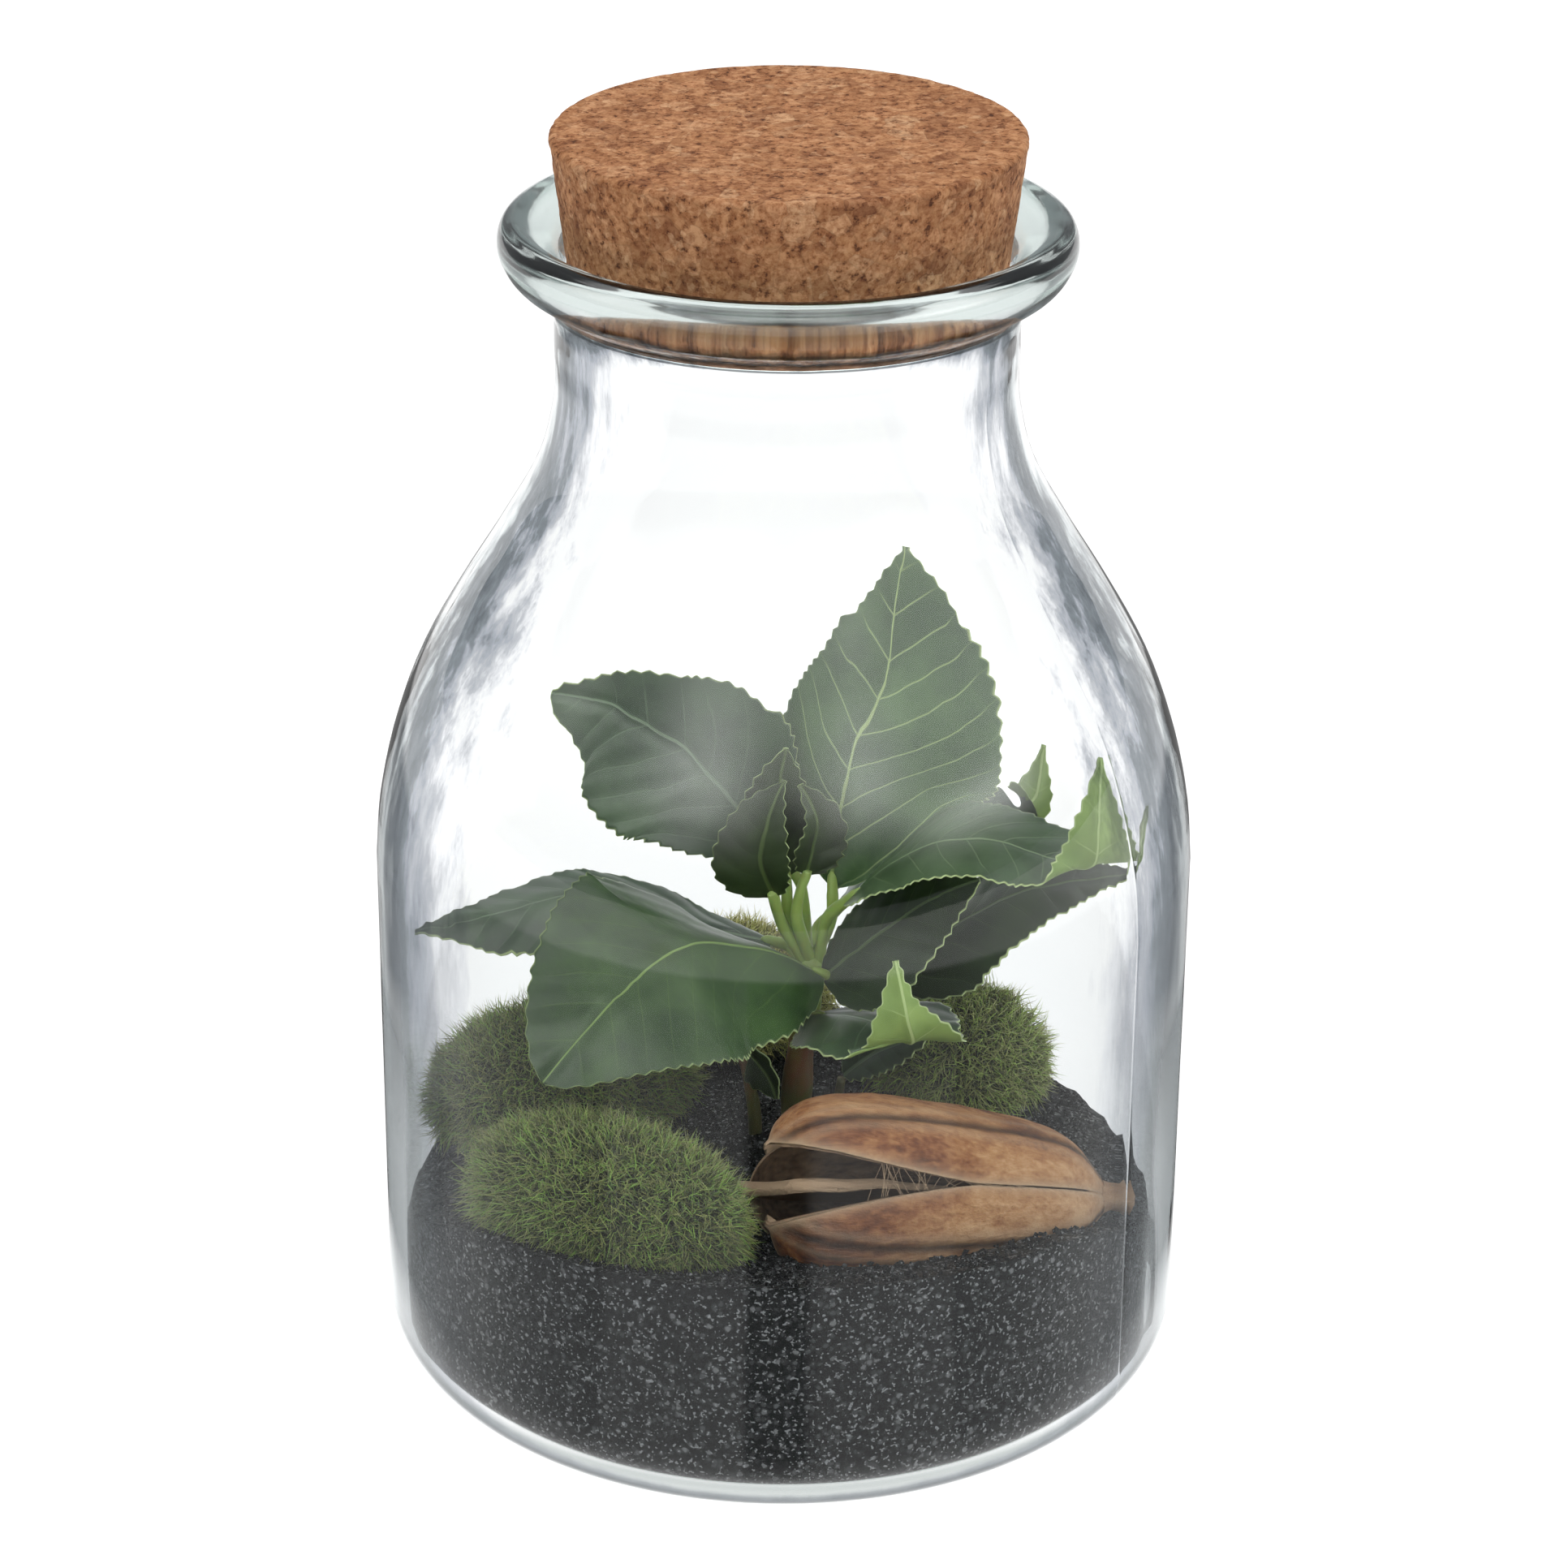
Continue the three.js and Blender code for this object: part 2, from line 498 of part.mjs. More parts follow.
function leafGeometry(leaf) {
  const rows = [bladeRow(leaf, 0, false)];
  for (let k = 0; k < leaf.teeth; k += 1) {
    rows.push(bladeRow(leaf, (k + 0.7) / leaf.teeth, true));
    rows.push(bladeRow(leaf, (k + 1) / leaf.teeth, false));
  }
  const upper = rows.map((row) => row.map((p) => p.upper));
  const lower = rows.map((row) => row.map((p) => p.lower));
  return leaf.face > 0 ? closedSheet(lower, upper) : closedSheet(upper, lower);
}

// The trunk stands in the grit and carries the stalks of the leaves from its crown
const TRUNK = {
  points: [[2.5, 6, 17], [2.5, 6, 36], [3.6, 7.4, 52], [5, 9, 67]],
  radius: 2.9,
};
const SHOOT_LEFT = {
  points: [[-4.5, 5, 20], [-4.5, 5, 36], [-5.4, 5.8, 43], [-6.8, 7, 48]],
  radius: 1.2,
};
const SHOOT_RIGHT = {
  points: [[10, 13.5, 20], [10, 13.5, 32], [10.2, 13, 37], [10.7, 12.3, 41.2]],
  radius: 1,
};
const HOLE_DEPTH = 40;         // from a stem's foot to well above the grit
const CROWN = [5, 8.6, 65];
const CROWN_R = 3.6;
const STALK_R = 1.05;

// Where each stalk leaves the trunk; it ends just short of its leaf, in line with the rib
const STALKS = {
  leaf_tall_right: [5.5, 9, 66],
  leaf_upper_left: [4, 10, 66],
  leaf_young_front: [4, 7.5, 66],
  leaf_young_right: [5, 7.5, 66],
  leaf_young_back: [5, 9.5, 66],
  leaf_right_arched: [6.5, 7.5, 66],
  leaf_right_lower: [6.5, 8.5, 63],
  leaf_right_back: [5.5, 10, 65],
  leaf_left_front: [4, 7, 65],
  leaf_left_back: [4, 9.5, 64.5],
  leaf_front_curled: [4.2, 8, 56.5],
  leaf_right_inner: [6, 7.5, 64],
};
const STALK_LEAD = 0.45;       // share of a stalk's length that runs in line with the rib

function stalkGeometry(name) {
  const from = new THREE.Vector3(...STALKS[name]);
  const foot = new THREE.Vector3(...LEAVES[name].rib[0]);
  const heading = curveThrough(LEAVES[name].rib).getTangent(0);
  const through = foot.clone().addScaledVector(heading, -STALK_LEAD * foot.distanceTo(from));
  const end = foot.addScaledVector(heading, -STALK_GAP);
  return tube([from.toArray(), through.toArray(), end.toArray()], STALK_R, 5, 4);
}

function stemGeometry() {
  const crown = new THREE.SphereGeometry(CROWN_R, 10, 7).scale(1, 0.8, 0.9).translate(...CROWN);
  const solids = [solidOf(tube(TRUNK.points, TRUNK.radius, 8, 8)), solidOf(crown)];
  Object.keys(STALKS).forEach((name) => solids.push(solidOf(stalkGeometry(name))));
  return geometryOf(wasm.Manifold.union(solids));
}

// The grit takes the print of every stone and of the pod, and a plain hole for each stem
function beddedSand(pod, stones) {
  let sand = solidOf(sandGeometry());
  Object.values(STONES).forEach((stone, i) => {
    stones[i].updateMatrixWorld();
    const print = stoneGeometry(stone, () => STONE_BED).applyMatrix4(stones[i].matrixWorld);
    sand = sand.subtract(solidOf(print));
  });
  pod.updateMatrixWorld();
  const outer = POD_PROFILE.map(([x]) => x);
  outer[0] = -1;
  outer[outer.length - 1] = POD_LENGTH + POD_STALK;
  const podPrint = podSkin(outer, -POD_BED, false).applyMatrix4(pod.matrixWorld);
  sand = sand.subtract(solidOf(podPrint));
  [TRUNK, SHOOT_LEFT, SHOOT_RIGHT].forEach(({ points, radius }) => {
    const [x, y, z] = points[0];
    const holeR = radius + HOLE_GAP;
    const hole = new THREE.CylinderGeometry(holeR, holeR, HOLE_DEPTH, 12);
    hole.rotateX(Math.PI / 2).translate(x, y, z - GAP + HOLE_DEPTH / 2);
    sand = sand.subtract(solidOf(hole));
  });
  return geometryOf(sand);
}

// Finishes
function finish(color, roughness, extra) {
  return new THREE.MeshStandardMaterial({ color, roughness, metalness: 0, ...extra });
}

const clearGlass = finish(0xe4eeee, 0.05, { transparent: true, opacity: 0.25 });
const corkGrain = finish(0xb07a55, 0.85);
const darkGrit = finish(0x2b2c30, 0.8);
const mossGreen = finish(0x55652a, 0.95);
const dryPod = finish(0xa9754a, 0.7);
const greenStem = finish(0x6f8f3a, 0.5);
const leafGreen = finish(0x3b5a3a, 0.45);

function piece(name, geometry, material) {
  const mesh = new THREE.Mesh(geometry, material.clone());
  mesh.name = name;
  return mesh;
}

const terrarium = new THREE.Group();
const planting = new THREE.Group();

terrarium.add(piece("glass_jar", jarGeometry(), clearGlass));
terrarium.add(piece("cork_stopper", corkGeometry(), corkGrain));

const stones = Object.entries(STONES).map(([name, stone]) => (
  placeStone(piece(name, mossGeometry(stone), mossGreen), stone)
));
const pod = placePod(piece("seed_pod", podGeometry(), dryPod));
planting.add(...stones, pod);
planting.add(piece("sand_bed", beddedSand(pod, stones), darkGrit));

planting.add(piece("plant_stem", stemGeometry(), greenStem));
planting.add(piece("side_shoot_left", tube(SHOOT_LEFT.points, SHOOT_LEFT.radius, 8, 6), greenStem));
planting.add(piece("side_shoot_right", tube(SHOOT_RIGHT.points, SHOOT_RIGHT.radius, 8, 6), greenStem));
Object.entries(LEAVES).forEach(([name, leaf]) => {
  planting.add(piece(name, leafGeometry(leaf), leafGreen));
});
terrarium.add(planting);

export default terrarium;
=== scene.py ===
# %% [markdown]
# # A corked glass jar with a small landscape in it
# This lesson dresses a jar terrarium: clear glass, a cork, dark grit, four moss stones, a dried
# seed pod and a leafy plant. The solids of the part come first and stay as they are. Each is
# then covered by, or replaced with, a finer piece that has the finish of the real thing.

# %% Load the solids
import math
import random

import bpy
import numpy as np
from mathutils import Euler, Matrix, Vector, noise


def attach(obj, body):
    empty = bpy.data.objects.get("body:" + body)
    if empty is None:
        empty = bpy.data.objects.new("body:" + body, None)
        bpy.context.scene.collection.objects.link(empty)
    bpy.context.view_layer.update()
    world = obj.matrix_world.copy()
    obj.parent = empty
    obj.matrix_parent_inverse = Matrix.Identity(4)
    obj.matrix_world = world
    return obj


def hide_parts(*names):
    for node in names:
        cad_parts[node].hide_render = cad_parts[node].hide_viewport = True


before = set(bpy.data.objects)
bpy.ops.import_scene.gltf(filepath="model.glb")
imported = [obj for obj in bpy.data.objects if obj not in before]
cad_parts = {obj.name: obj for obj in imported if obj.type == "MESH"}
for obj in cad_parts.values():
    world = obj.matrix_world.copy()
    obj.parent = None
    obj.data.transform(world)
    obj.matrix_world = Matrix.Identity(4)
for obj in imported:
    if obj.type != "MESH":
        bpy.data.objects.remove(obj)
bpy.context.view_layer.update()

MM = 0.001

# %% [markdown]
# ## The camera
# The photograph looks down on the jar by about 25 degrees with a long lens, so that the jar's
# sides stay nearly parallel. A long lens far away is chosen over a short one close by, because
# the ellipses of the rim and of the base show how strong the perspective is.

# %% Camera
CAMERA_PLACE = (0, -0.7225, 0.4392)
CAMERA_PITCH = 24.85
CAMERA_ROLL = 0.44
LENS, FILM_WIDTH = 106.5, 36

camera_data = bpy.data.cameras.new("camera")
camera_data.lens, camera_data.sensor_width = LENS, FILM_WIDTH
camera = bpy.data.objects.new("camera", camera_data)
camera.matrix_world = (Matrix.Translation(CAMERA_PLACE)
                       @ Matrix.Rotation(math.radians(90 - CAMERA_PITCH), 4, "X")
                       @ Matrix.Rotation(math.radians(CAMERA_ROLL), 4, "Z"))
bpy.context.scene.collection.objects.link(camera)
bpy.context.scene.camera = camera
print("camera pitch:", CAMERA_PITCH, "degrees")

# %% [markdown]
# ## Tools for materials
# A material in Blender is a small network of nodes. One function adds a node. Each of its
# inputs takes a number, a colour or a link from another node, so that every material below
# reads as a list of steps. Colours are written as sRGB hex, the way a paint chart gives them,
# and turned linear.


# %% Colour and node tools
def linear(hex_code):
    """An sRGB hex colour as the linear RGBA that a socket takes."""
    values = [int(hex_code[i:i + 2], 16) / 255 for i in (1, 3, 5)]
    return [v / 12.92 if v <= 0.04045 else ((v + 0.055) / 1.055) ** 2.4 for v in values] + [1]


def fill(tree, node, inputs):
    """Fills inputs of a node with numbers, hex colours or links from other nodes' sockets."""
    for name, value in inputs.items():
        if isinstance(value, bpy.types.NodeSocket):
            tree.links.new(value, node.inputs[name])
        else:
            node.inputs[name].default_value = linear(value) if isinstance(value, str) else value


def add(tree, kind, inputs={}, output=0, **settings):
    """Adds a node with its settings and inputs, and returns the output that is wanted."""
    made = tree.nodes.new("ShaderNode" + kind)
    for name, value in settings.items():
        setattr(made, name, value)
    fill(tree, made, inputs)
    return made.outputs[output]


def calc(tree, operation, *inputs):
    return add(tree, "Math", dict(enumerate(inputs)), operation=operation)


def remap(tree, value, start, end, low=0, high=1, **settings):
    """Stretches the range from start to end over low to high, and stays within it."""
    return add(tree, "MapRange", {"Value": value, "From Min": start, "From Max": end,
                                  "To Min": low, "To Max": high}, **settings)


def mix(tree, share, first, second, how="MIX"):
    """Two colours mixed, with a share of the second."""
    return add(tree, "Mix", {0: share, 6: first, 7: second}, 2, data_type="RGBA", blend_type=how)


def scaled(tree, colour, factor):
    return add(tree, "VectorMath", {0: colour, "Scale": factor}, operation="SCALE")


def ramp(tree, value, *stops):
    """A colour for each value, from places between 0 and 1 and their hex colours."""
    colour = add(tree, "ValToRGB", {0: value})
    points = colour.node.color_ramp.elements
    for point, (place, hex_code) in zip(points, (stops[0], stops[-1])):
        point.position, point.color = place, linear(hex_code)
    for place, hex_code in stops[1:-1]:
        points.new(place).color = linear(hex_code)
    return colour


def cloudy(tree, place, scale, detail, roughness=0.5, output="Fac", **more):
    return add(tree, "TexNoise", {"Vector": place, "Scale": scale, "Detail": detail,
                                  "Roughness": roughness, **more}, output)


def cells(tree, place, scale, output="Color", **settings):
    return add(tree, "TexVoronoi", {"Vector": place, "Scale": scale}, output, **settings)


def warped(tree, place, scale, reach):
    """Places shifted a little by noise, so that cells get uneven edges."""
    shift = scaled(tree, cloudy(tree, place, scale, 2, output="Color"), reach)
    return add(tree, "VectorMath", {0: place, 1: shift}, operation="ADD")


def bump(tree, height, strength, distance, **settings):
    return add(tree, "Bump", {"Height": height, "Strength": strength, "Distance": distance},
               **settings)


def own_place(tree):
    return add(tree, "TexCoord", output="Object")


def noted(tree, *names):
    """The numbers that note() has kept on the points of a mesh."""
    return [add(tree, "Attribute", output="Fac", attribute_name=name) for name in names]


def new_material(name, **values):
    """A material, its tree and its Principled shader with the values given."""
    material = bpy.data.materials.new(name)
    material.use_nodes = True
    tree = material.node_tree
    shader = tree.nodes["Principled BSDF"]
    fill(tree, shader, {socket.replace("_", " "): value for socket, value in values.items()})
    return material, tree, shader


def show(tree, surface):
    fill(tree, tree.nodes["Material Output"], {"Surface": surface})


# %% [markdown]
# ## Tools for meshes
# Points are worked out in millimetres and scaled to metres in one place. Round pieces are
# turned from a profile, and long thin ones are swept along a smooth curve.


# %% Mesh tools
def make_piece(name, points, faces, materials, slot, replaces=None):
    """A smooth mesh from points in mm that rides with the part and may stand for a solid."""
    mesh = bpy.data.meshes.new(name)
    mesh.from_pydata((np.asarray(points, float) * MM).tolist(), [], faces)
    for material in materials:
        mesh.materials.append(material)
    mesh.shade_smooth()
    piece = bpy.data.objects.new(name, mesh)
    bpy.context.scene.collection.objects.link(piece)
    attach(piece, "root")
    if replaces:
        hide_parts(replaces)
    return piece


def note(piece, name, values):
    """Keeps one number for each point of the mesh, for a material to read."""
    layer = piece.data.attributes.new(name, "FLOAT", "POINT")
    layer.data.foreach_set("value", np.asarray(values, np.float32).ravel())


def through(points, places):
    """A smooth curve through the points, read at places between 0 and 1."""
    points = np.array(points, float)
    last = len(points) - 1
    padded = np.vstack([2 * points[0] - points[1], points, 2 * points[-1] - points[-2]])
    u = np.clip(np.asarray(places, float) * last, 0, last - 1e-9)
    i = np.floor(u).astype(int)
    w = (u - i)[:, None]
    before, start, end, after = padded[i], padded[i + 1], padded[i + 2], padded[i + 3]
    leave, arrive = (end - before) / 2, (after - start) / 2
    return ((2 * w**3 - 3 * w**2 + 1) * start + (w**3 - 2 * w**2 + w) * leave
            + (3 * w**2 - 2 * w**3) * end + (w**3 - w**2) * arrive)


def unit(vectors):
    return vectors / np.maximum(np.linalg.norm(vectors, axis=-1, keepdims=True), 1e-9)


def grid_faces(rows, columns, start=0, closed=False, flip=False):
    """Faces between rows of points; closed joins the last column to the first."""
    faces = []
    for i in range(rows - 1):
        for j in range(columns if closed else columns - 1):
            k = (j + 1) % columns
            a, b = start + i * columns + j, start + i * columns + k
            face = (a, b, b + columns, a + columns)
            faces.append(face[::-1] if flip else face)
    return faces


def cap_faces(pole, ring, count, flip=False):
    """Triangles between one point and a ring of points that starts at ring."""
    ends = [(ring + j, ring + (j + 1) % count) for j in range(count)]
    return [(pole, b, a) if flip else (pole, a, b) for a, b in ends]


def wall_faces(rows, columns, flip=False):
    """Faces that join the borders of two equal grids, the second stored after the first."""
    grid, size = np.arange(rows * columns).reshape(rows, columns), rows * columns
    border = np.concatenate([grid[0], grid[1:, -1], grid[-1, -2::-1], grid[-2:0:-1, 0]]).tolist()
    pairs = zip(border, border[1:] + border[:1])
    return [(b, a, a + size, b + size) if flip else (a, b, b + size, a + size) for a, b in pairs]


def on_ring(r, angle, z):
    """A point r from the upright axis; angle 0 is the front."""
    return r * math.sin(angle), -r * math.cos(angle), z


def turned(profile, angles, wander=None):
    """Points and faces of a profile of (radius, height) turned about the upright axis."""
    inner = [p for p in profile if p[0] > 0]
    points = [on_ring(r + (wander(row, angle, r, z) if wander else 0), angle, z)
              for row, (r, z) in enumerate(inner) for angle in angles]
    count = len(angles)
    faces = grid_faces(len(inner), count, closed=True)
    for (r, z), ring in ((profile[0], 0), (profile[-1], len(inner) - 1)):
        if r == 0:
            points.append((0, 0, z))
            faces += cap_faces(len(points) - 1, ring * count, count, flip=ring == 0)
    return points, faces


def swept(path, radii, sides):
    """Points and faces of a closed round rod along a path of points, one radius for each."""
    path = np.array(path, float)
    along = unit(np.gradient(path, axis=0))
    side = unit(np.cross(along[0], (0.3, 0.2, 1)))
    points = []
    for place, heading, radius in zip(path, along, radii):
        side = unit(side - side.dot(heading) * heading)
        other = np.cross(heading, side)
        for k in range(sides):
            angle = 2 * math.pi * k / sides
            points.append(place + radius * (math.cos(angle) * side + math.sin(angle) * other))
    faces = grid_faces(len(path), sides, closed=True)
    faces.append(tuple(range(sides))[::-1])
    faces.append(tuple(range(len(points) - sides, len(points))))
    return points, faces


def joined(parts):
    """Several lists of points and faces as one."""
    points, faces = [], []
    for more_points, more_faces in parts:
        start = len(points)
        points.extend(more_points)
        faces.extend(tuple(start + k for k in face) for face in more_faces)
    return points, faces


def wave(x, y, z, seed=0):
    """Smooth noise between -1 and 1."""
    return noise.noise(Vector((x, y, z + 17.3 * seed)))


# %% [markdown]
# ## The glass jar
# The jar is soda-lime glass blown into a mould. It could be a thin shell with a see-through
# material, but only a wall with a real inside and outside bends light at its edges, so it is
# turned from one closed profile. The mould left a thin upright seam, and the wall wanders by a
# tenth of a millimetre, more at the shoulder, which bends light into ragged streaks; their dark is
# partly painted shade in the glass colour.

# %% Profile of the jar
JAR_R = 70
WALL = 3
FLOOR_Z = 6
HEEL_R = 9.6
HEEL_CENTRE = (JAR_R - HEEL_R, HEEL_R)
INNER_HEEL_R = HEEL_R - WALL
SHOULDER_OUTSIDE = [(70, 94), (69.1, 104), (66.4, 116), (62, 128), (55.4, 140), (48, 152),
                    (41.4, 164), (38.5, 176), (38.4, 185), (38.6, 191), (40.6, 194.8), (45, 197.6),
                    (47, 200.4), (47.4, 203), (46.6, 205.2), (44.6, 206.3)]
SHOULDER_INSIDE = [(42.8, 206.2), (41, 204.8), (39, 203), (37.3, 200.8), (36.3, 197), (35.9, 193),
                   (35.4, 184), (35.5, 176), (38.4, 164), (45, 152), (52.4, 140), (59, 128),
                   (63.4, 116), (66.1, 104), (67, 94)]


def arc(centre, radius, start, end, steps):
    """Points on a quarter circle or part of one, angles in degrees."""
    turns = np.radians(np.linspace(start, end, steps))
    return [(centre[0] + radius * math.cos(a), centre[1] + radius * math.sin(a)) for a in turns]


outside = [(0, 0), (20, 0), (40, 0), (56, 0)]
outside += arc(HEEL_CENTRE, HEEL_R, -90, 0, 12)
outside += [(JAR_R, z) for z in np.arange(13, 93, 3)]
outside += [tuple(p) for p in through(SHOULDER_OUTSIDE, np.linspace(0, 1, 66))]
inside = [tuple(p) for p in through(SHOULDER_INSIDE, np.linspace(0, 1, 60))]
inside += [(JAR_R - WALL, z) for z in np.arange(90, 11, -3)]
inside += arc(HEEL_CENTRE, INNER_HEEL_R, 0, -90, 10)
inside += [(54, 3.6), (46, 4.6), (36, 5.5), (18, FLOOR_Z), (0, FLOOR_Z)]
print("profile points of the jar:", len(outside), "outside,", len(inside), "inside")

# %% Turn the jar
SEAM_ANGLE = math.radians(57)
SEAM_HEIGHT = 0.04
SEAM_TOP = 180
SEAM_WIDTH = 0.25
JAR_COLUMNS = 216
jar_angles = set(np.linspace(0, 2 * math.pi, JAR_COLUMNS, endpoint=False))
jar_angles |= {SEAM_ANGLE + k * SEAM_WIDTH / JAR_R for k in (-2, -1, 0, 1, 2)}
jar_angles = sorted(jar_angles)


def jar_wander(row, angle, r, z):
    """How far the blown wall wanders at a place, in mm: little on the body, more at the
    shoulder, and outwards in a thin ridge at the seam."""
    within = row >= len(outside) - 1
    shoulder = min(1, max(0, (z - 92) / 30)) * min(1, max(0, (196 - z) / 12))
    depth = (0.05 if within else 0.02) + (0.07 if within else 0.04) * shoulder
    x, y = math.cos(angle), math.sin(angle)
    broad = wave(6 * x, 6 * y, z / 40, within)
    fine = wave(15 * x, 15 * y, z / (22 - 14 * shoulder), 3 + within)
    away = min(abs(angle - SEAM_ANGLE) * r / SEAM_WIDTH, 9)
    seam = 0 if within or z > SEAM_TOP else SEAM_HEIGHT * math.exp(-away * away)
    return depth * (broad + 0.6 * fine) * min(1, r / 50) * min(1, z / 12) + seam


jar_points, jar_faces = turned(outside + inside, jar_angles, jar_wander)
print("faces of the jar:", len(jar_faces))

# %% [markdown]
# Clear glass has an IOR of about 1.5 and no colour of its own where it is thin. Where the eye
# looks along the wall, real glass shows far more glass and dark corners bent into it; here the
# edges are painted blue-grey, a painted shade from a Layer Weight node broken up by stretched
# noise, and painted paler low on the body. Thick glass at the rim and the base is faintly green.
# Lamps shine straight through, because a
# renderer can't find them through bent glass: rays to a lamp meet a Transparent shader.

# %% Bottle glass
# Colours of the painted shade along the glass edges, from facing the eye to seen sideways
PAINTED_EDGE_SHADE_STOPS = [(0.0, "#ffffff"), (0.45, "#ffffff"), (0.5, "#dedfe5"), (0.56, "#999ca5"),
              (0.63, "#717783"), (0.67, "#434a51"), (0.78, "#1f252b"), (0.83, "#4b5257"),
              (0.88, "#98a2a6"), (0.94, "#d2d9db"), (1.0, "#ffffff")]
# Heights in metres over which the glass changes
RIM_RANGE = (0.199, 0.202)
BASE_RANGE = (0.006, 0.003)
SHOULDER_RANGE = (0.085, 0.125)
GRIT_RANGE = (0.045, 0.08)
HEEL_RANGE = (0.006, 0.014)
RIM_HAZE = 0.12


def bottle_glass(name, edges):
    """Clear glass; edges says whether this face of the wall carries the painted dark edge, a
    painted shade.
    """
    material, tree, shader = new_material(name, IOR=1.5, Transmission_Weight=1.0,
                                          Specular_Tint="#ffffff")
    place = own_place(tree)
    height = add(tree, "SeparateXYZ", {0: place}, "Z")
    rim, base = remap(tree, height, *RIM_RANGE), remap(tree, height, *BASE_RANGE)
    tint = mix(tree, base, mix(tree, rim, "#fcfdfd", "#b9c9c4"), "#98a19e")
    if edges:
        # Painted shade: the glass colour darkens where the wall turns away, in ragged streaks, and
        # is painted paler low on the body
        stretched = add(tree, "Mapping", {"Vector": place, "Scale": (1, 1, 0.22)})
        ragged = calc(tree, "SUBTRACT", cloudy(tree, stretched, 140, 5, 0.66), 0.5)
        facing = add(tree, "LayerWeight", {"Blend": 0.5}, "Facing")
        sooner = calc(tree, "ADD", facing, remap(tree, height, *SHOULDER_RANGE, 0, 0.075))
        amount = remap(tree, height, *SHOULDER_RANGE, 0.16, 0.72)
        dark = ramp(tree, calc(tree, "MULTIPLY_ADD", ragged, amount, sooner), *PAINTED_EDGE_SHADE_STOPS)
        low = calc(tree, "MULTIPLY", remap(tree, height, *GRIT_RANGE, 0.4, 0),
                   remap(tree, height, *HEEL_RANGE))
        dark = mix(tree, rim, mix(tree, low, dark, "#dfe6e8"), "#ffffff")
        tint = mix(tree, 1.0, tint, dark, "MULTIPLY")
    else:
        fill(tree, shader, {"Specular Tint": mix(tree, rim, "#44484a", "#aebfb9")})
    fill(tree, shader, {"Base Color": tint, "Roughness": calc(tree, "MULTIPLY", rim, RIM_HAZE)})
    show(tree, add(tree, "MixShader", {0: add(tree, "LightPath", output="Is Shadow Ray"),
                                       1: shader.outputs[0],
                                       2: add(tree, "BsdfTransparent", {0: "#fbfdfd"})}))
    return material


jar = make_piece("blown_glass_jar", jar_points, jar_faces,
                 [bottle_glass("bottle_glass_outside", True),
                  bottle_glass("bottle_glass_inside", False)], "clear_glass", "glass_jar")
outer_rows = len([p for p in outside if p[0] > 0])
for face in jar.data.polygons:
    if face.index >= (outer_rows - 1) * len(jar_angles) and face.center.xy.length > 1 * MM:
        face.material_index = 1
print("jar piece:", jar.name, len(jar.data.polygons), "faces")

# %% [markdown]
# ## The cork
# The stopper is agglomerated cork: granules of 1 to 5 mm pressed with a binder, then sanded.
# Its edges are slightly rounded and its side a little rough. The granules are drawn by two
# sizes of Voronoi cells, each cell with its own brown, with darker bark between them.

# %% Shape of the cork
CORK_BOTTOM, CORK_TOP = 196.4, 220.6
CORK_R_BOTTOM, CORK_R_TOP = 35.8, 38.8
CORK_EDGE = 1.1
CORK_COLUMNS = 260
PIT_DEPTH, EDGE_CHIP_DEPTH = 0.16, 0.22
taper = (CORK_R_TOP - CORK_R_BOTTOM) / (CORK_TOP - CORK_BOTTOM)
cork_profile = [(0, CORK_BOTTOM)] + [(r, CORK_BOTTOM) for r in np.arange(3, 34, 3)]
cork_profile += arc((CORK_R_BOTTOM - CORK_EDGE, CORK_BOTTOM + CORK_EDGE), CORK_EDGE, -90, 0, 5)
cork_profile += [(CORK_R_BOTTOM + taper * (z - CORK_BOTTOM), z)
                 for z in np.arange(CORK_BOTTOM + 2, CORK_TOP - 1.2, 0.9)]
cork_profile += arc((CORK_R_TOP - CORK_EDGE, CORK_TOP - CORK_EDGE), CORK_EDGE, 0, 90, 6)
cork_profile += [(r, CORK_TOP) for r in np.arange(36, 1, -2)] + [(0, CORK_TOP)]


def cork_rough(row, angle, r, z):
    """Chips and pits of the pressed cork's side, in mm."""
    x, y = 38 * math.cos(angle), 38 * math.sin(angle)
    pits = wave(x / 1.6, y / 1.6, z / 1.6, 5) + 0.8 * wave(x / 4, y / 4, z / 3, 6)
    depth = PIT_DEPTH + EDGE_CHIP_DEPTH * max(0, (z - CORK_TOP + 2) / 2)
    return depth * min(pits, 0.3 if z < CORK_TOP - 2 else 0) if r > 33 else 0


cork_points, cork_faces = turned(
    cork_profile, np.linspace(0, 2 * math.pi, CORK_COLUMNS, endpoint=False), cork_rough)
print("faces of the cork:", len(cork_faces))


# %% Pressed cork
CORK_BROWNS = [(0.0, "#774a30"), (0.25, "#9e6b46"), (0.5, "#bc885d"), (0.75, "#c9946a"),
               (1.0, "#dbb68e")]


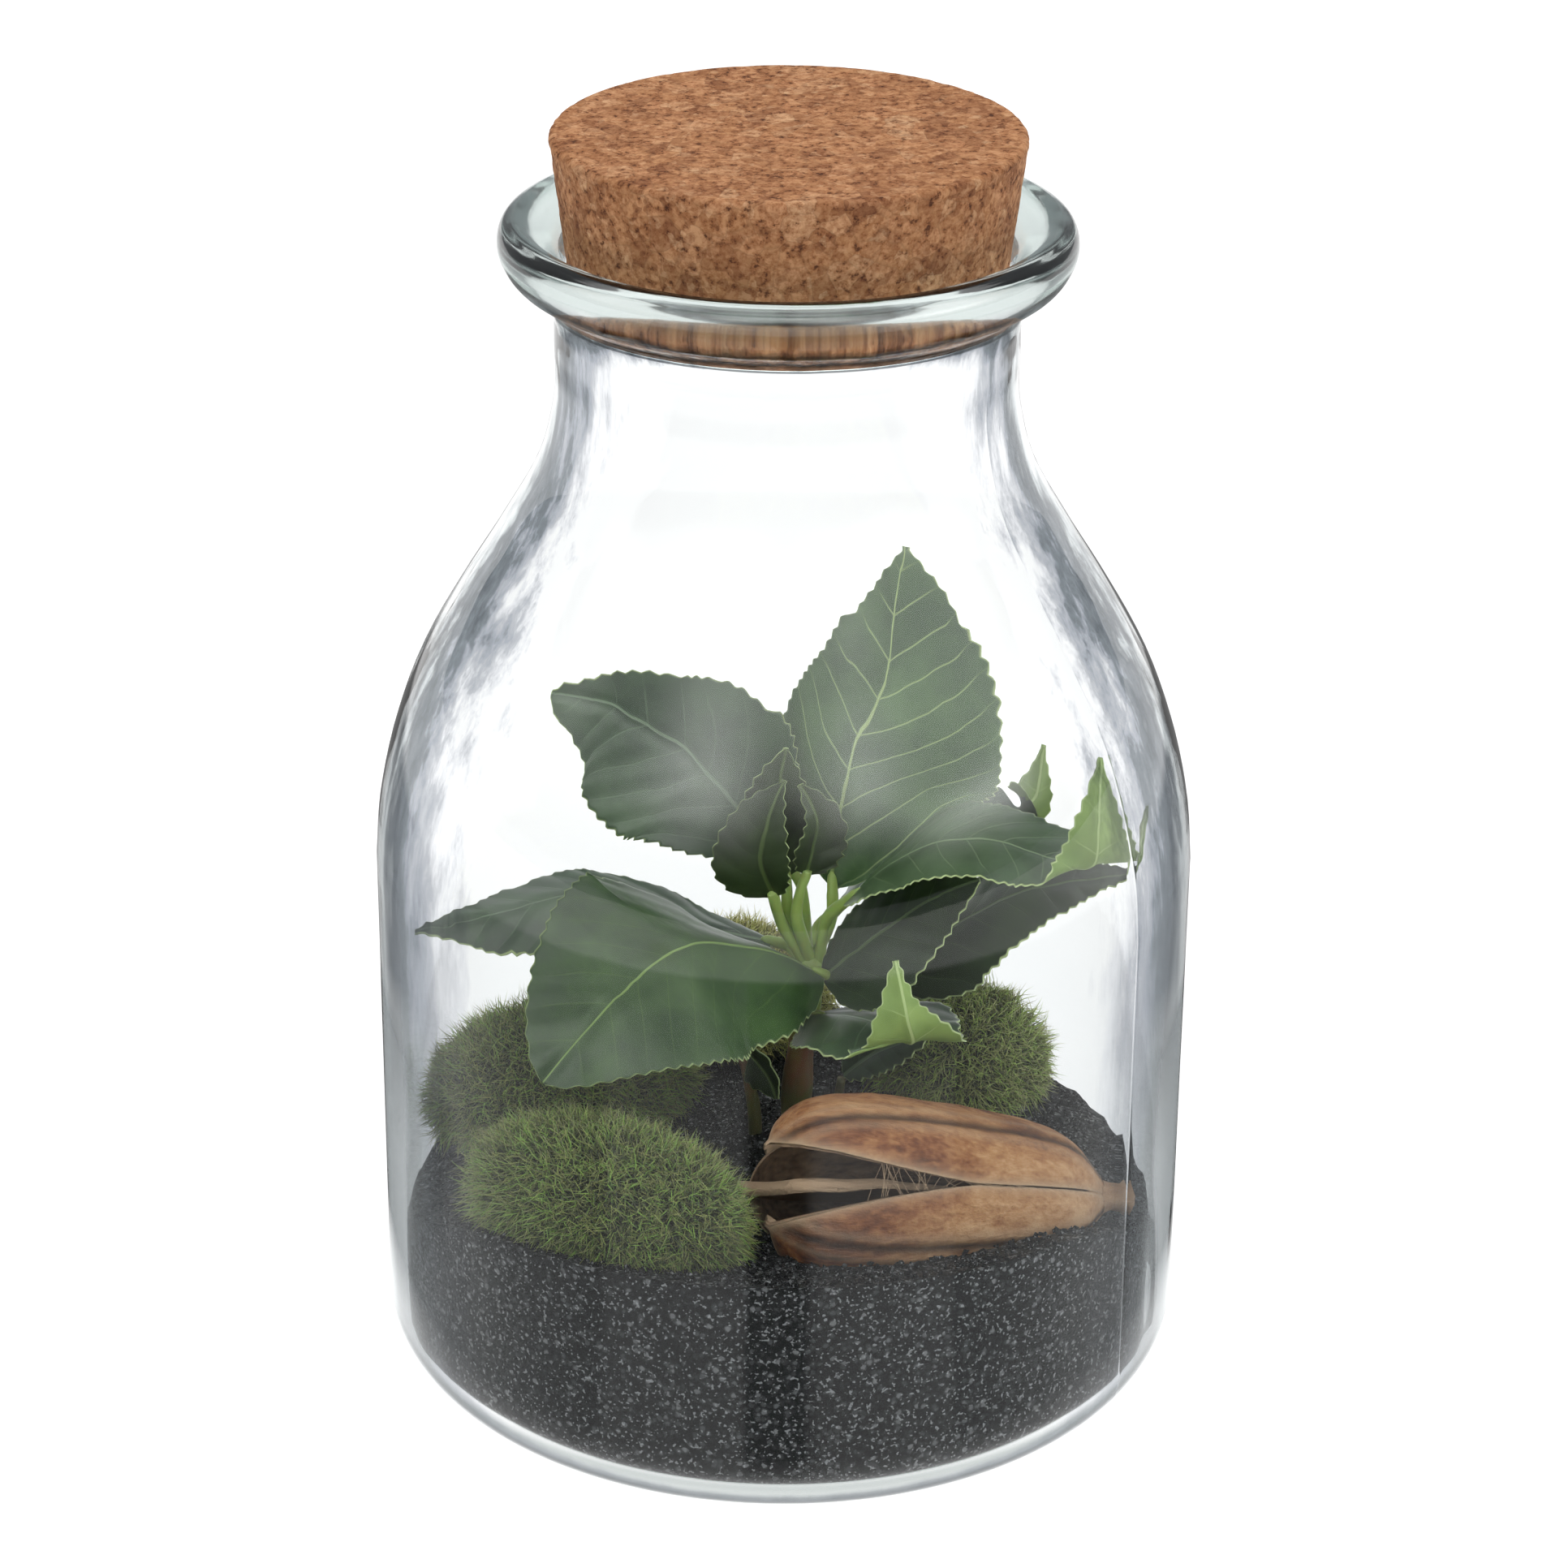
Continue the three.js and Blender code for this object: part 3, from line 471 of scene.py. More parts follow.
def pressed_cork(name):
    """Granules of about 4 mm, crumbs of 1.4 mm between them, dark seams and flecks of bark."""
    material, tree, shader = new_material(name, Roughness=0.85, IOR=1.45,
                                          Specular_IOR_Level=0.25)
    place = own_place(tree)
    bent = warped(tree, place, 220, 0.0022)
    big = ramp(tree, cells(tree, bent, 250), *CORK_BROWNS)
    small = ramp(tree, cells(tree, bent, 720), *CORK_BROWNS)
    seam = cells(tree, bent, 250, "Distance", feature="DISTANCE_TO_EDGE")
    bark = cloudy(tree, place, 750, 4, 0.7)
    flecks = ramp(tree, bark, (0.34, "#6b4f3e"), (0.43, "#d4c0b1"), (0.6, "#ffffff"))
    speckled = mix(tree, 0.95, mix(tree, 0.52, big, small), flecks, "MULTIPLY")
    line = remap(tree, seam, 0, 0.05, 0.82, 1)
    relief = calc(tree, "MULTIPLY_ADD", line, 0.6, bark)
    fill(tree, shader, {"Base Color": scaled(tree, speckled, line),
                        "Normal": bump(tree, relief, 0.6, 0.0004)})
    return material


cork = make_piece("pressed_cork_stopper", cork_points, cork_faces,
                  [pressed_cork("agglomerated_cork")], "pressed_cork", "cork_stopper")
print("cork piece:", cork.name)

# %% [markdown]
# ## The moss stones
# Each stone is covered with fine green fibres about 5 mm long, so dense that the stone hardly
# shows. Hair curves would do it in Blender, but the part has to leave Blender as plain meshes,
# so each fibre is a three-sided spike, bent once, with its root sunk in a lumpy stone. The same
# ellipsoids also shape the grit, which dips under them.

# %% Sizes of the stones
STONES = {
    "front_left": dict(centre=(-29, -39, 44.5), half=(22, 13.5, 12.5), turn=-27, seed=11),
    "back_left": dict(centre=(-40, 14, 38.5), half=(22, 15.5, 13.5), turn=18, seed=23),
    "back_right": dict(centre=(31.5, 23, 40), half=(15, 12, 12), turn=-20, seed=37),
    "back_centre": dict(centre=(-8, 43, 40), half=(15, 12, 12), turn=5, seed=53),
}
FIBRES_PER_MM2 = 7
FIBRE_LENGTH = 5.5
FIBRE_R = 0.135
ROOT_SUNK = 0.5
BARE_BELOW = -0.3
FIBRE_REACH = JAR_R - WALL - 0.3


def stone_point(stone, way):
    """The stone's skin in the directions given, in its own frame."""
    a, b, c = stone["half"]
    lump = 1 + 0.04 * np.sin(3 * way[:, 0] + stone["seed"]) + 0.03 * np.cos(4 * way[:, 1])
    return way * np.stack([a * lump, b * lump, c * lump], axis=1)


def in_place(stone, points):
    """From the stone's own frame to the jar's."""
    angle = math.radians(stone["turn"])
    cos, sin = math.cos(angle), math.sin(angle)
    turned_points = points @ np.array([[cos, sin, 0], [-sin, cos, 0], [0, 0, 1]])
    return turned_points + np.array(stone["centre"])


# %% Grow the fibres
def stone_body(stone):
    """The stone itself, a sphere of small faces pushed out to its skin."""
    rows, columns = 39, 64
    up = np.linspace(-math.pi / 2, math.pi / 2, rows + 2)[1:-1]
    around = np.linspace(0, 2 * math.pi, columns, endpoint=False)
    way = np.array([(math.cos(u) * math.cos(v), math.cos(u) * math.sin(v), math.sin(u))
                    for u in up for v in around] + [(0, 0, -1), (0, 0, 1)])
    poles = rows * columns
    return in_place(stone, stone_point(stone, way)), (
        grid_faces(rows, columns, closed=True) + cap_faces(poles, 0, columns, flip=True)
        + cap_faces(poles + 1, poles - columns, columns))


def fibres(stone, random_state):
    """Points of all fibres, seven for each: three at the root, three half way and the tip."""
    a, b, c = stone["half"]
    # The area of half an ellipsoid is 2 pi times this power mean
    mean = (((a * b) ** 1.6 + (a * c) ** 1.6 + (b * c) ** 1.6) / 3) ** (1 / 1.6)
    count = int(FIBRES_PER_MM2 * 2 * math.pi * mean)
    way = unit(random_state.normal(size=(3 * count, 3)))
    way = way[way[:, 2] > BARE_BELOW][:count]
    root = stone_point(stone, way)
    out = unit(way / np.array([a, b, c]))
    lean = random_state.normal(size=way.shape)
    # Neighbouring fibres lean alike, so the moss lies in small swirls
    swirl = np.array([[wave(*(p / 7), k) for k in (1, 2, 3)] for p in root])
    heading = unit(0.8 * out + 0.65 * lean + 0.45 * swirl)
    bend = unit(heading + 0.7 * random_state.normal(size=way.shape) + 0.3 * swirl
                + np.array([0, 0, -0.2]))
    length = FIBRE_LENGTH * random_state.uniform(0.55, 1.12, size=(len(way), 1))
    side = unit(np.cross(heading, random_state.normal(size=way.shape)))
    other = np.cross(heading, side)
    middle = root + 0.5 * length * heading
    tip = middle + 0.55 * length * bend
    corners = []
    for place, radius in ((root - ROOT_SUNK * out, FIBRE_R), (middle, 0.8 * FIBRE_R)):
        for k in range(3):
            angle = 2 * math.pi * k / 3
            corners.append(place + radius * (math.cos(angle) * side + math.sin(angle) * other))
    return np.stack(corners + [tip], axis=1), way


FIBRE_FACES = [(0, 1, 4, 3), (1, 2, 5, 4), (2, 0, 3, 5), (3, 4, 6), (4, 5, 6), (5, 3, 6), (2, 1, 0)]
FIBRE_HEIGHTS = [0, 0, 0, 0.55, 0.55, 0.55, 1]


# %% [markdown]
# The fibres are dyed preserved moss: matt, darker at the root where they shade each other and
# yellow-green at the tip. Two numbers kept on each point drive the colour: how far up its
# fibre it is, and a shade of its own for each fibre.


# %% Moss finish
def moss(name, root, middle, tip, fresh):
    """Moss fibres from the colour at the root to the one at the tip; some are fresher."""
    material, tree, shader = new_material(name, Roughness=0.75, IOR=1.45,
                                          Specular_IOR_Level=0.3, Sheen_Weight=0.15)
    up, own = noted(tree, "height", "shade")
    usual = ramp(tree, up, (0.0, root), (0.5, middle), (1.0, tip))
    bright = ramp(tree, up, (0.0, root), (0.45, fresh), (1.0, fresh))
    both = mix(tree, remap(tree, own, 0.62, 0.8), usual, bright)
    # A third of the fibres stay dark, so that the light ones stand out one by one
    depth = remap(tree, own, 0.15, 0.55, 0.45, 1.1)
    fill(tree, shader, {"Base Color": scaled(tree, both, depth)})
    return material


def make_stone(name, stone, material):
    """One stone with its fibres as one piece."""
    random_state = np.random.default_rng(stone["seed"])
    body_points, body_faces = stone_body(stone)
    strands, way = fibres(stone, random_state)
    count, corners = strands.shape[:2]
    tufts = in_place(stone, strands.reshape(-1, 3))
    # Fibres that would reach into the glass are pressed flat against its inside
    tufts[:, :2] *= np.minimum(1, FIBRE_REACH / np.hypot(tufts[:, 0], tufts[:, 1]))[:, None]
    points = np.vstack([body_points, tufts])
    start = len(body_points)
    faces = body_faces
    for first in range(start, len(points), corners):
        faces += [tuple(first + k for k in face) for face in FIBRE_FACES]
    piece = make_piece(f"moss_fibres_{name}", points, faces, [material], "green_moss",
                       f"moss_stone_{name}")
    note(piece, "height", np.concatenate([np.zeros(start), np.tile(FIBRE_HEIGHTS, count)]))
    patch = np.array([0.5 + 0.5 * wave(*(3 * w), 9) for w in way])
    shade = 0.8 * random_state.uniform(size=count) + 0.2 * patch
    note(piece, "shade", np.concatenate([np.zeros(start), np.repeat(shade, corners)]))
    print(piece.name, "fibres:", count)


green_moss = moss("preserved_moss_green", "#3d471d", "#6c7c3b", "#b9ba74", "#86ab4a")
light_moss = moss("preserved_moss_light", "#454f24", "#828f48", "#d3d693", "#9dbb59")
gold_moss = moss("preserved_moss_gold", "#6a6c34", "#b5b365", "#ebe39b", "#c6cb73")
MOSS_OF = {"back_right": light_moss, "back_centre": gold_moss}
for name, stone in STONES.items():
    make_stone(name, stone, MOSS_OF.get(name, green_moss))

# %% [markdown]
# ## The seed pod
# A dried capsule that split into three woody valves from its tip. Each valve is a thin curved
# shell that narrows to a beak, with a groove down its back and a papery rib inside. Cutting a
# shell with booleans would leave sharp machined slits, so each valve is laid out by its own
# angles, from slit to slit, and given a thickness.

# %% Sizes of the pod
POD_MOUTH = np.array([-4, -38, 47.5])
POD_END = np.array([53, -23, 37.5])
POD_SLIT_FACES = np.array([0, -0.81, 0.59])
POD_LENGTH = 62
POD_WALL = 1.2
POD_PROFILE = [(0, 7.2), (2, 10.4), (5, 13.3), (8, 15), (12, 16), (18, 16.4), (26, 15.9),
               (35, 14.8), (45, 13.4), (52, 11.6), (56.5, 8.9), (59.5, 5.2), (62, 2.6)]
SLIT_MOUTH = 7.2
SLIT_CLOSED = 36
SLIT_THIN = 0.16
GROOVES = [math.radians(43), math.radians(180), math.radians(-43)]
VALVE_ANGLES = [math.pi / 3 + 2 * math.pi * number / 3 for number in range(3)]
pod_along = unit(POD_END - POD_MOUTH)
pod_out = unit(POD_SLIT_FACES - POD_SLIT_FACES.dot(pod_along) * pod_along)
pod_across = np.cross(pod_out, pod_along)


def pod_place(x, r, angle):
    """A place on the pod: x mm from its mouth, r from its axis, angle from the front slit."""
    return (POD_MOUTH + x * pod_along + r * math.sin(angle) * pod_across
            + r * math.cos(angle) * pod_out)


def pod_radius(x, angle):
    """Three bulging valves, each with a groove down its back."""
    xs, rs = zip(*POD_PROFILE)
    smooth_r = (np.interp(x - 1, xs, rs) + np.interp(x, xs, rs) + np.interp(x + 1, xs, rs)) / 3
    lobe = 0.03 * math.cos(3 * (angle - math.pi))
    fade = min(1, max(0, x / 12)) * min(1, max(0, (POD_LENGTH - x) / 10))
    away = min(abs(math.remainder(angle - place, 2 * math.pi)) for place in GROOVES)
    groove = 0.05 * math.exp(-((away / 0.07) ** 2)) - 0.03 * math.exp(-((away / 0.2) ** 2))
    crinkle = (0.012 * wave(x / 5, 3 * math.sin(angle), 3 * math.cos(angle), 2)
               + 0.006 * wave(x / 3, 14 * math.sin(angle), 14 * math.cos(angle), 4))
    return smooth_r * (1 + lobe - groove * fade + crinkle)


def slit_angle(x):
    """Half the opening between two valves, as an angle."""
    half = max(SLIT_THIN, SLIT_MOUTH * min(1, max(0, 1 - x / SLIT_CLOSED)) ** 1.3)
    return min(math.asin(min(1, half / pod_radius(x, 0))), math.radians(57))


# %% Valves of the pod
VALVE_COLUMNS = 60
FAR_VALVE = 1
VALVE_STATIONS = [*np.linspace(0.2, 8, 12), *np.linspace(9, 61, 48)]
BEAK_STATIONS = [-3.6, -2.4, -1.2]


def pod_valve(number):
    """One valve: its outer skin, its inner skin, the wall between, and what its points are."""
    centre = VALVE_ANGLES[number]
    outer, inner, groove, rim, along = [], [], [], [], []
    stations = (BEAK_STATIONS if number == FAR_VALVE else []) + VALVE_STATIONS
    for x in stations:
        reach = math.pi / 3 - slit_angle(x)
        for column in range(VALVE_COLUMNS + 1):
            s = 2 * column / VALVE_COLUMNS - 1
            angle = centre + reach * s
            r = pod_radius(x, angle)
            lip = 0.35 * math.exp(-((1 - abs(s)) * reach * r / 1.2))
            outer.append(pod_place(x, r - lip, angle))
            inner.append(pod_place(x, max(0.6, r - POD_WALL), angle))
            beside = abs(math.remainder(angle - GROOVES[number], 2 * math.pi)) * r
            groove.append(math.exp(-((beside / 0.9) ** 2)))
            rim.append(math.exp(-((1 - abs(s)) * reach * r / 0.8))
                       + 0.35 * math.exp(-(((beside - 2.2) / 0.9) ** 2)))
            along.append(x)
    rows, columns = len(stations), VALVE_COLUMNS + 1
    faces = grid_faces(rows, columns, flip=True) + wall_faces(rows, columns, flip=True)
    faces += grid_faces(rows, columns, start=rows * columns)
    count = len(inner)
    return (outer + inner, faces, groove + [0] * count, rim + [0.55] * count, along + along,
            [0] * count + [1] * count)


def pod_rib(number):
    """The papery rib that stands in from the middle of a valve; the far valve's rib reaches
    across the hollow nearly to the front slit."""
    angle = VALVE_ANGLES[number]
    far = number == FAR_VALVE
    stations = np.linspace(-3.4 if far else 0.6, 52, 48)
    across = math.cos(angle) * pod_across - math.sin(angle) * pod_out
    points = []
    for x in stations:
        depth = 4.8 * math.sin(math.pi * (x + 4) / POD_LENGTH) + 0.25 * math.sin(x)
        top = pod_radius(x, angle) - 0.5 * POD_WALL
        low = max(0.8, top - 0.5 * POD_WALL - depth)
        thick = 0.6
        if far:
            low = top - 0.7 - 1.6 * (top - 1.5) * min(1, max(0, (x + 4.2) / 9))
            thick = 1.2 * min(1, max(0.2, (40 - x) / 30))
        sway = 0.25 * math.sin(x / 4.3) + 0.12 * math.sin(x / 1.7)
        for r, half in ((top, 0.55), (low + 2, 0.5 * thick), (low, thick), (low, -thick),
                        (low + 2, -0.5 * thick), (top, -0.55)):
            share = (top - r) / max(top - low, 0.1)
            points.append(pod_place(x, r, angle) + (half + share * sway) * across)
    faces = grid_faces(len(stations), 6, closed=True)
    faces += [(5, 4, 3, 2, 1, 0), tuple(range(len(points) - 6, len(points)))]
    return points, faces


# %% [markdown]
# The husk is thin dry wood: matt tan with brown stains, fine grain that runs along the pod,
# nearly black in the grooves and pale along the torn edges and inside.


# %% Dry husk
def dry_husk(name):
    material, tree, shader = new_material(name, Roughness=0.62, IOR=1.5,
                                          Specular_IOR_Level=0.35)
    groove, rim, within, along = noted(tree, "groove", "rim", "within", "along")
    place = own_place(tree)
    # The pod lies nearly along X, so noise squeezed in Y and Z runs along it as grain
    lie = add(tree, "Mapping", {"Vector": place, "Rotation": (0, 0.17, -0.26),
                                "Scale": (0.16, 1, 1)})
    grain = cloudy(tree, lie, 900, 6, 0.65)
    stains = cloudy(tree, lie, 70, 6, 0.68, Distortion=0.3)
    specks = cloudy(tree, place, 420, 4, 0.7)
    level = calc(tree, "ADD", stains, remap(tree, along, 0, POD_LENGTH, -0.23, 0.07))
    for finer in (specks, grain):
        level = calc(tree, "MULTIPLY_ADD", finer, 0.42, level)
    level = calc(tree, "SUBTRACT", level, 0.12)
    tan = ramp(tree, level, (0.48, "#43210f"), (0.6, "#744223"), (0.7, "#96633a"),
               (0.82, "#b28355"), (0.95, "#c9a075"))
    dark = mix(tree, calc(tree, "MULTIPLY", groove, 0.85), tan, "#33261e")
    lining = ramp(tree, grain, (0.3, "#5f4835"), (0.7, "#9c8166"))
    relief = calc(tree, "MULTIPLY_ADD", specks, 0.5, grain)
    fill(tree, shader, {
        "Base Color": mix(tree, within, mix(tree, rim, dark, "#b89c7e"), lining),
        "Normal": bump(tree, relief, 0.9, 0.0007)})
    return material


# %% Put the pod together
STUB_X = [56, 58, 60, 61.5, 63, 64.6, 65.8, 66.6]
STUB_R = [8.4, 6.6, 4.4, 3.1, 2.5, 2.4, 3.0, 1.9]
STRANDS = 40
STRAND_R = 0.05
pod_parts, pod_notes = [], {"groove": [], "rim": [], "along": [], "within": []}


def add_pod_part(points, faces, *kept):
    """Keeps a part with its groove, rim, along and within, each a list or one number."""
    pod_parts.append((points, faces))
    for values, value in zip(pod_notes.values(), kept):
        values += value if isinstance(value, list) else [value] * len(points)


for number in range(3):
    add_pod_part(*pod_valve(number))
    add_pod_part(*pod_rib(number), 0, 1, 40, 0)

stub_points, stub_faces = swept([pod_place(x, 0, 0) for x in STUB_X], STUB_R, 24)
stub_points = [p + 0.4 * np.array([wave(*(p * 1.1), k) for k in (1, 2, 3)]) for p in stub_points]
add_pod_part(stub_points, stub_faces, 0.25, 0.35, 60, 0)

pod_random = random.Random(5)
for _ in range(STRANDS):
    x = 17 + 26 * pod_random.random() ** 1.2
    far = x + pod_random.uniform(-3, 3)
    r = pod_radius(x, 0) - 0.6
    start = pod_place(x, r, slit_angle(x))
    end = pod_place(far, r, -slit_angle(far))
    middle = (start + end) / 2 + pod_random.uniform(-0.9, 0.5) * pod_out
    path = through([start, middle, end], np.linspace(0, 1, 6))
    add_pod_part(*swept(path, [STRAND_R] * 6, 3), 0, 1, 60, 0)

pod_points, pod_faces = joined(pod_parts)
pod = make_piece("dry_seed_pod", pod_points, pod_faces, [dry_husk("dry_capsule_husk")],
                 "dry_pod", "seed_pod")
for key, values in pod_notes.items():
    note(pod, key, values)
print("pod faces:", len(pod_faces))

# %% [markdown]
# ## The grit
# Near-black slag grit with grains of about 1 mm fills the bottom of the jar. It is banked up
# against the front glass and dips under each stone and the pod. The bed is one closed mesh with
# a rough surface, and a few thousand loose grains lie on it, so that its outline is grainy.

# %% Height of the grit
BODY_R = JAR_R - WALL
SAND_GAP = 0.3
SAND_CENTRE, SAND_FRONT, SAND_SIDE, SAND_BACK = 34, 45, 24, 28


def smooth(x):
    t = min(1, max(0, x))
    return t * t * (3 - 2 * t)


def sand_height(x, y):
    """The height of the grit before anything is pressed into it."""
    r = max(math.hypot(x, y), 1e-6)
    banked = SAND_BACK + (SAND_FRONT - SAND_BACK) * smooth(1.3 * -y / r)
    wall = banked - (SAND_BACK - SAND_SIDE) * (x / r) ** 2
    ripple = 0.7 * math.sin(x / 8 + 1) * math.cos(y / 7)
    slope = SAND_CENTRE + (wall - SAND_CENTRE) * (r / BODY_R) ** 2.5
    return slope + ripple * smooth((BODY_R - r) / 20)


def pressed_height(x, y):
    """The same, lowered under each stone and under the pod."""
    height = sand_height(x, y)
    for stone in STONES.values():
        cx, cy, cz = stone["centre"]
        a, b, c = stone["half"]
        angle = math.radians(stone["turn"])
        u = (x - cx) * math.cos(angle) + (y - cy) * math.sin(angle)
        v = (y - cy) * math.cos(angle) - (x - cx) * math.sin(angle)
        inside_stone = 1 - (u / a) ** 2 - (v / b) ** 2
        if inside_stone > 0:
            height = min(height, cz - c * math.sqrt(inside_stone) - SAND_GAP)
    level_along = np.array([pod_along[0], pod_along[1]])
    run = np.array([x, y]) - POD_MOUTH[:2]
    station = run.dot(level_along) / level_along.dot(level_along)
    if 0 < station < POD_LENGTH:
        off = math.hypot(*(run - station * level_along))
        radius = pod_radius(station, math.pi) * 1.07
        if off < radius:
            axis_z = POD_MOUTH[2] + station * pod_along[2]
            height = min(height, axis_z - math.sqrt(radius**2 - off**2) - SAND_GAP)
    return height


# %% The bed
BED_COLUMNS = 264
BED_STEP = 1.4
BED_WALL_ROWS = 16
BED_FLOOR = [(54, 4.1), (46, 5.1), (36, 6), (18, 6.5)]


def bed_mesh():
    """Rings of points over the top, down the glass and across the floor."""
    edge = BODY_R - SAND_GAP
    around = np.linspace(0, 2 * math.pi, BED_COLUMNS, endpoint=False)
    points = []
    for r in [*np.arange(BED_STEP, edge - 0.4, BED_STEP), edge]:
        for angle in around:
            x, y, _ = on_ring(r, angle, 0)
            rough = 0.35 * wave(x / 1.1, y / 1.1, 3) + 0.3 * wave(x / 3, y / 3, 8)
            points.append((x, y, pressed_height(x, y) + rough))
    brink = points[-BED_COLUMNS:]
    for row in range(1, BED_WALL_ROWS + 1):
        points += [(x, y, z + (HEEL_CENTRE[1] - z) * row / BED_WALL_ROWS) for x, y, z in brink]
    for r, z in arc(HEEL_CENTRE, INNER_HEEL_R - SAND_GAP, 0, -90, 9)[1:] + BED_FLOOR:
        points += [on_ring(r, angle, z) for angle in around]
    count = len(points)
    faces = grid_faces(count // BED_COLUMNS, BED_COLUMNS, closed=True, flip=True)
    faces += cap_faces(count, 0, BED_COLUMNS)
    faces += cap_faces(count + 1, count - BED_COLUMNS, BED_COLUMNS, flip=True)
    return points + [(0, 0, pressed_height(0, 0)), (0, 0, BED_FLOOR[-1][1])], faces


# %% Loose grains
GRAINS = 7000
GRAIN_R = 0.55
OCTAHEDRON = [(1, 0, 0), (-1, 0, 0), (0, 1, 0), (0, -1, 0), (0, 0, 1), (0, 0, -1)]
OCTAHEDRON_FACES = [(0, 2, 4), (2, 1, 4), (1, 3, 4), (3, 0, 4), (2, 0, 5), (1, 2, 5), (3, 1, 5),
                    (0, 3, 5)]


def grain_mesh():
    """Angular grains strewn evenly over the bed."""
    chance = random.Random(8)
    points, faces = [], []
    for grain in range(GRAINS):
        r = (BODY_R - SAND_GAP - 0.9) * math.sqrt(chance.random())
        angle = chance.uniform(0, 2 * math.pi)
        x, y = r * math.sin(angle), -r * math.cos(angle)
        size = GRAIN_R * chance.uniform(0.6, 1.5)
        centre = Vector((x, y, pressed_height(x, y) + 0.35 * size))
        spin = Euler([chance.uniform(0, 6.3) for k in range(3)]).to_matrix()
        stretch = [size * chance.uniform(0.55, 1.1) for k in range(3)]
        for corner in OCTAHEDRON:
            points.append(centre + spin @ Vector(c * s for c, s in zip(corner, stretch)))
        faces += [tuple(6 * grain + k for k in face) for face in OCTAHEDRON_FACES]
    return points, faces


# %% Slag grit
def slag_grit(name):
    """Each grain of about 1.1 mm has its own grey, most nearly black, a few pale and glassy."""
    material, tree, shader = new_material(name, Roughness=0.7, IOR=1.55,
                                          Specular_IOR_Level=0.25)
    place = own_place(tree)
    own = cells(tree, warped(tree, place, 1300, 0.0007), 1000)
    away = own.node.outputs["Distance"]
    greys = ramp(tree, add(tree, "SeparateColor", {0: own}), (0.3, "#101011"), (0.65, "#222223"),
                 (0.88, "#424344"), (1.0, "#727374"))
    # Light falls into the gaps between grains and doesn't come back
    greys = scaled(tree, greys, remap(tree, away, 0.35, 0.6, 1, 0.2))
    # Broken faces of 0.3 mm catch the light
    glint = remap(tree, cloudy(tree, place, 1700, 1), 0.62, 0.67, 0, 0.6)
    fill(tree, shader, {"Base Color": mix(tree, glint, greys, "#a2a4a5"),
                        "Normal": bump(tree, away, 0.4, 0.0005, invert=True)})
    return material


grit = slag_grit("black_slag_grit")
bed = make_piece("grit_bed", *bed_mesh(), [grit], "dark_grit", "sand_bed")
grains_piece = make_piece("loose_grains", *grain_mesh(), [grit], "dark_grit")
for face in grains_piece.data.polygons:
    face.use_smooth = False
print("bed faces:", len(bed.data.polygons), "loose grains:", GRAINS)

# %% [markdown]
# ## The leaves
# The plant has broad leathery leaves with saw-toothed edges. Each leaf follows a curve through
# a few points of its midrib, with a direction that says which way the blade spreads there, so
# it can twist and curl. A flat card with a picture of a leaf would be quicker, but it has no
# teeth, no thickness and no curl. The blade is a fine grid with an upper and a lower skin.

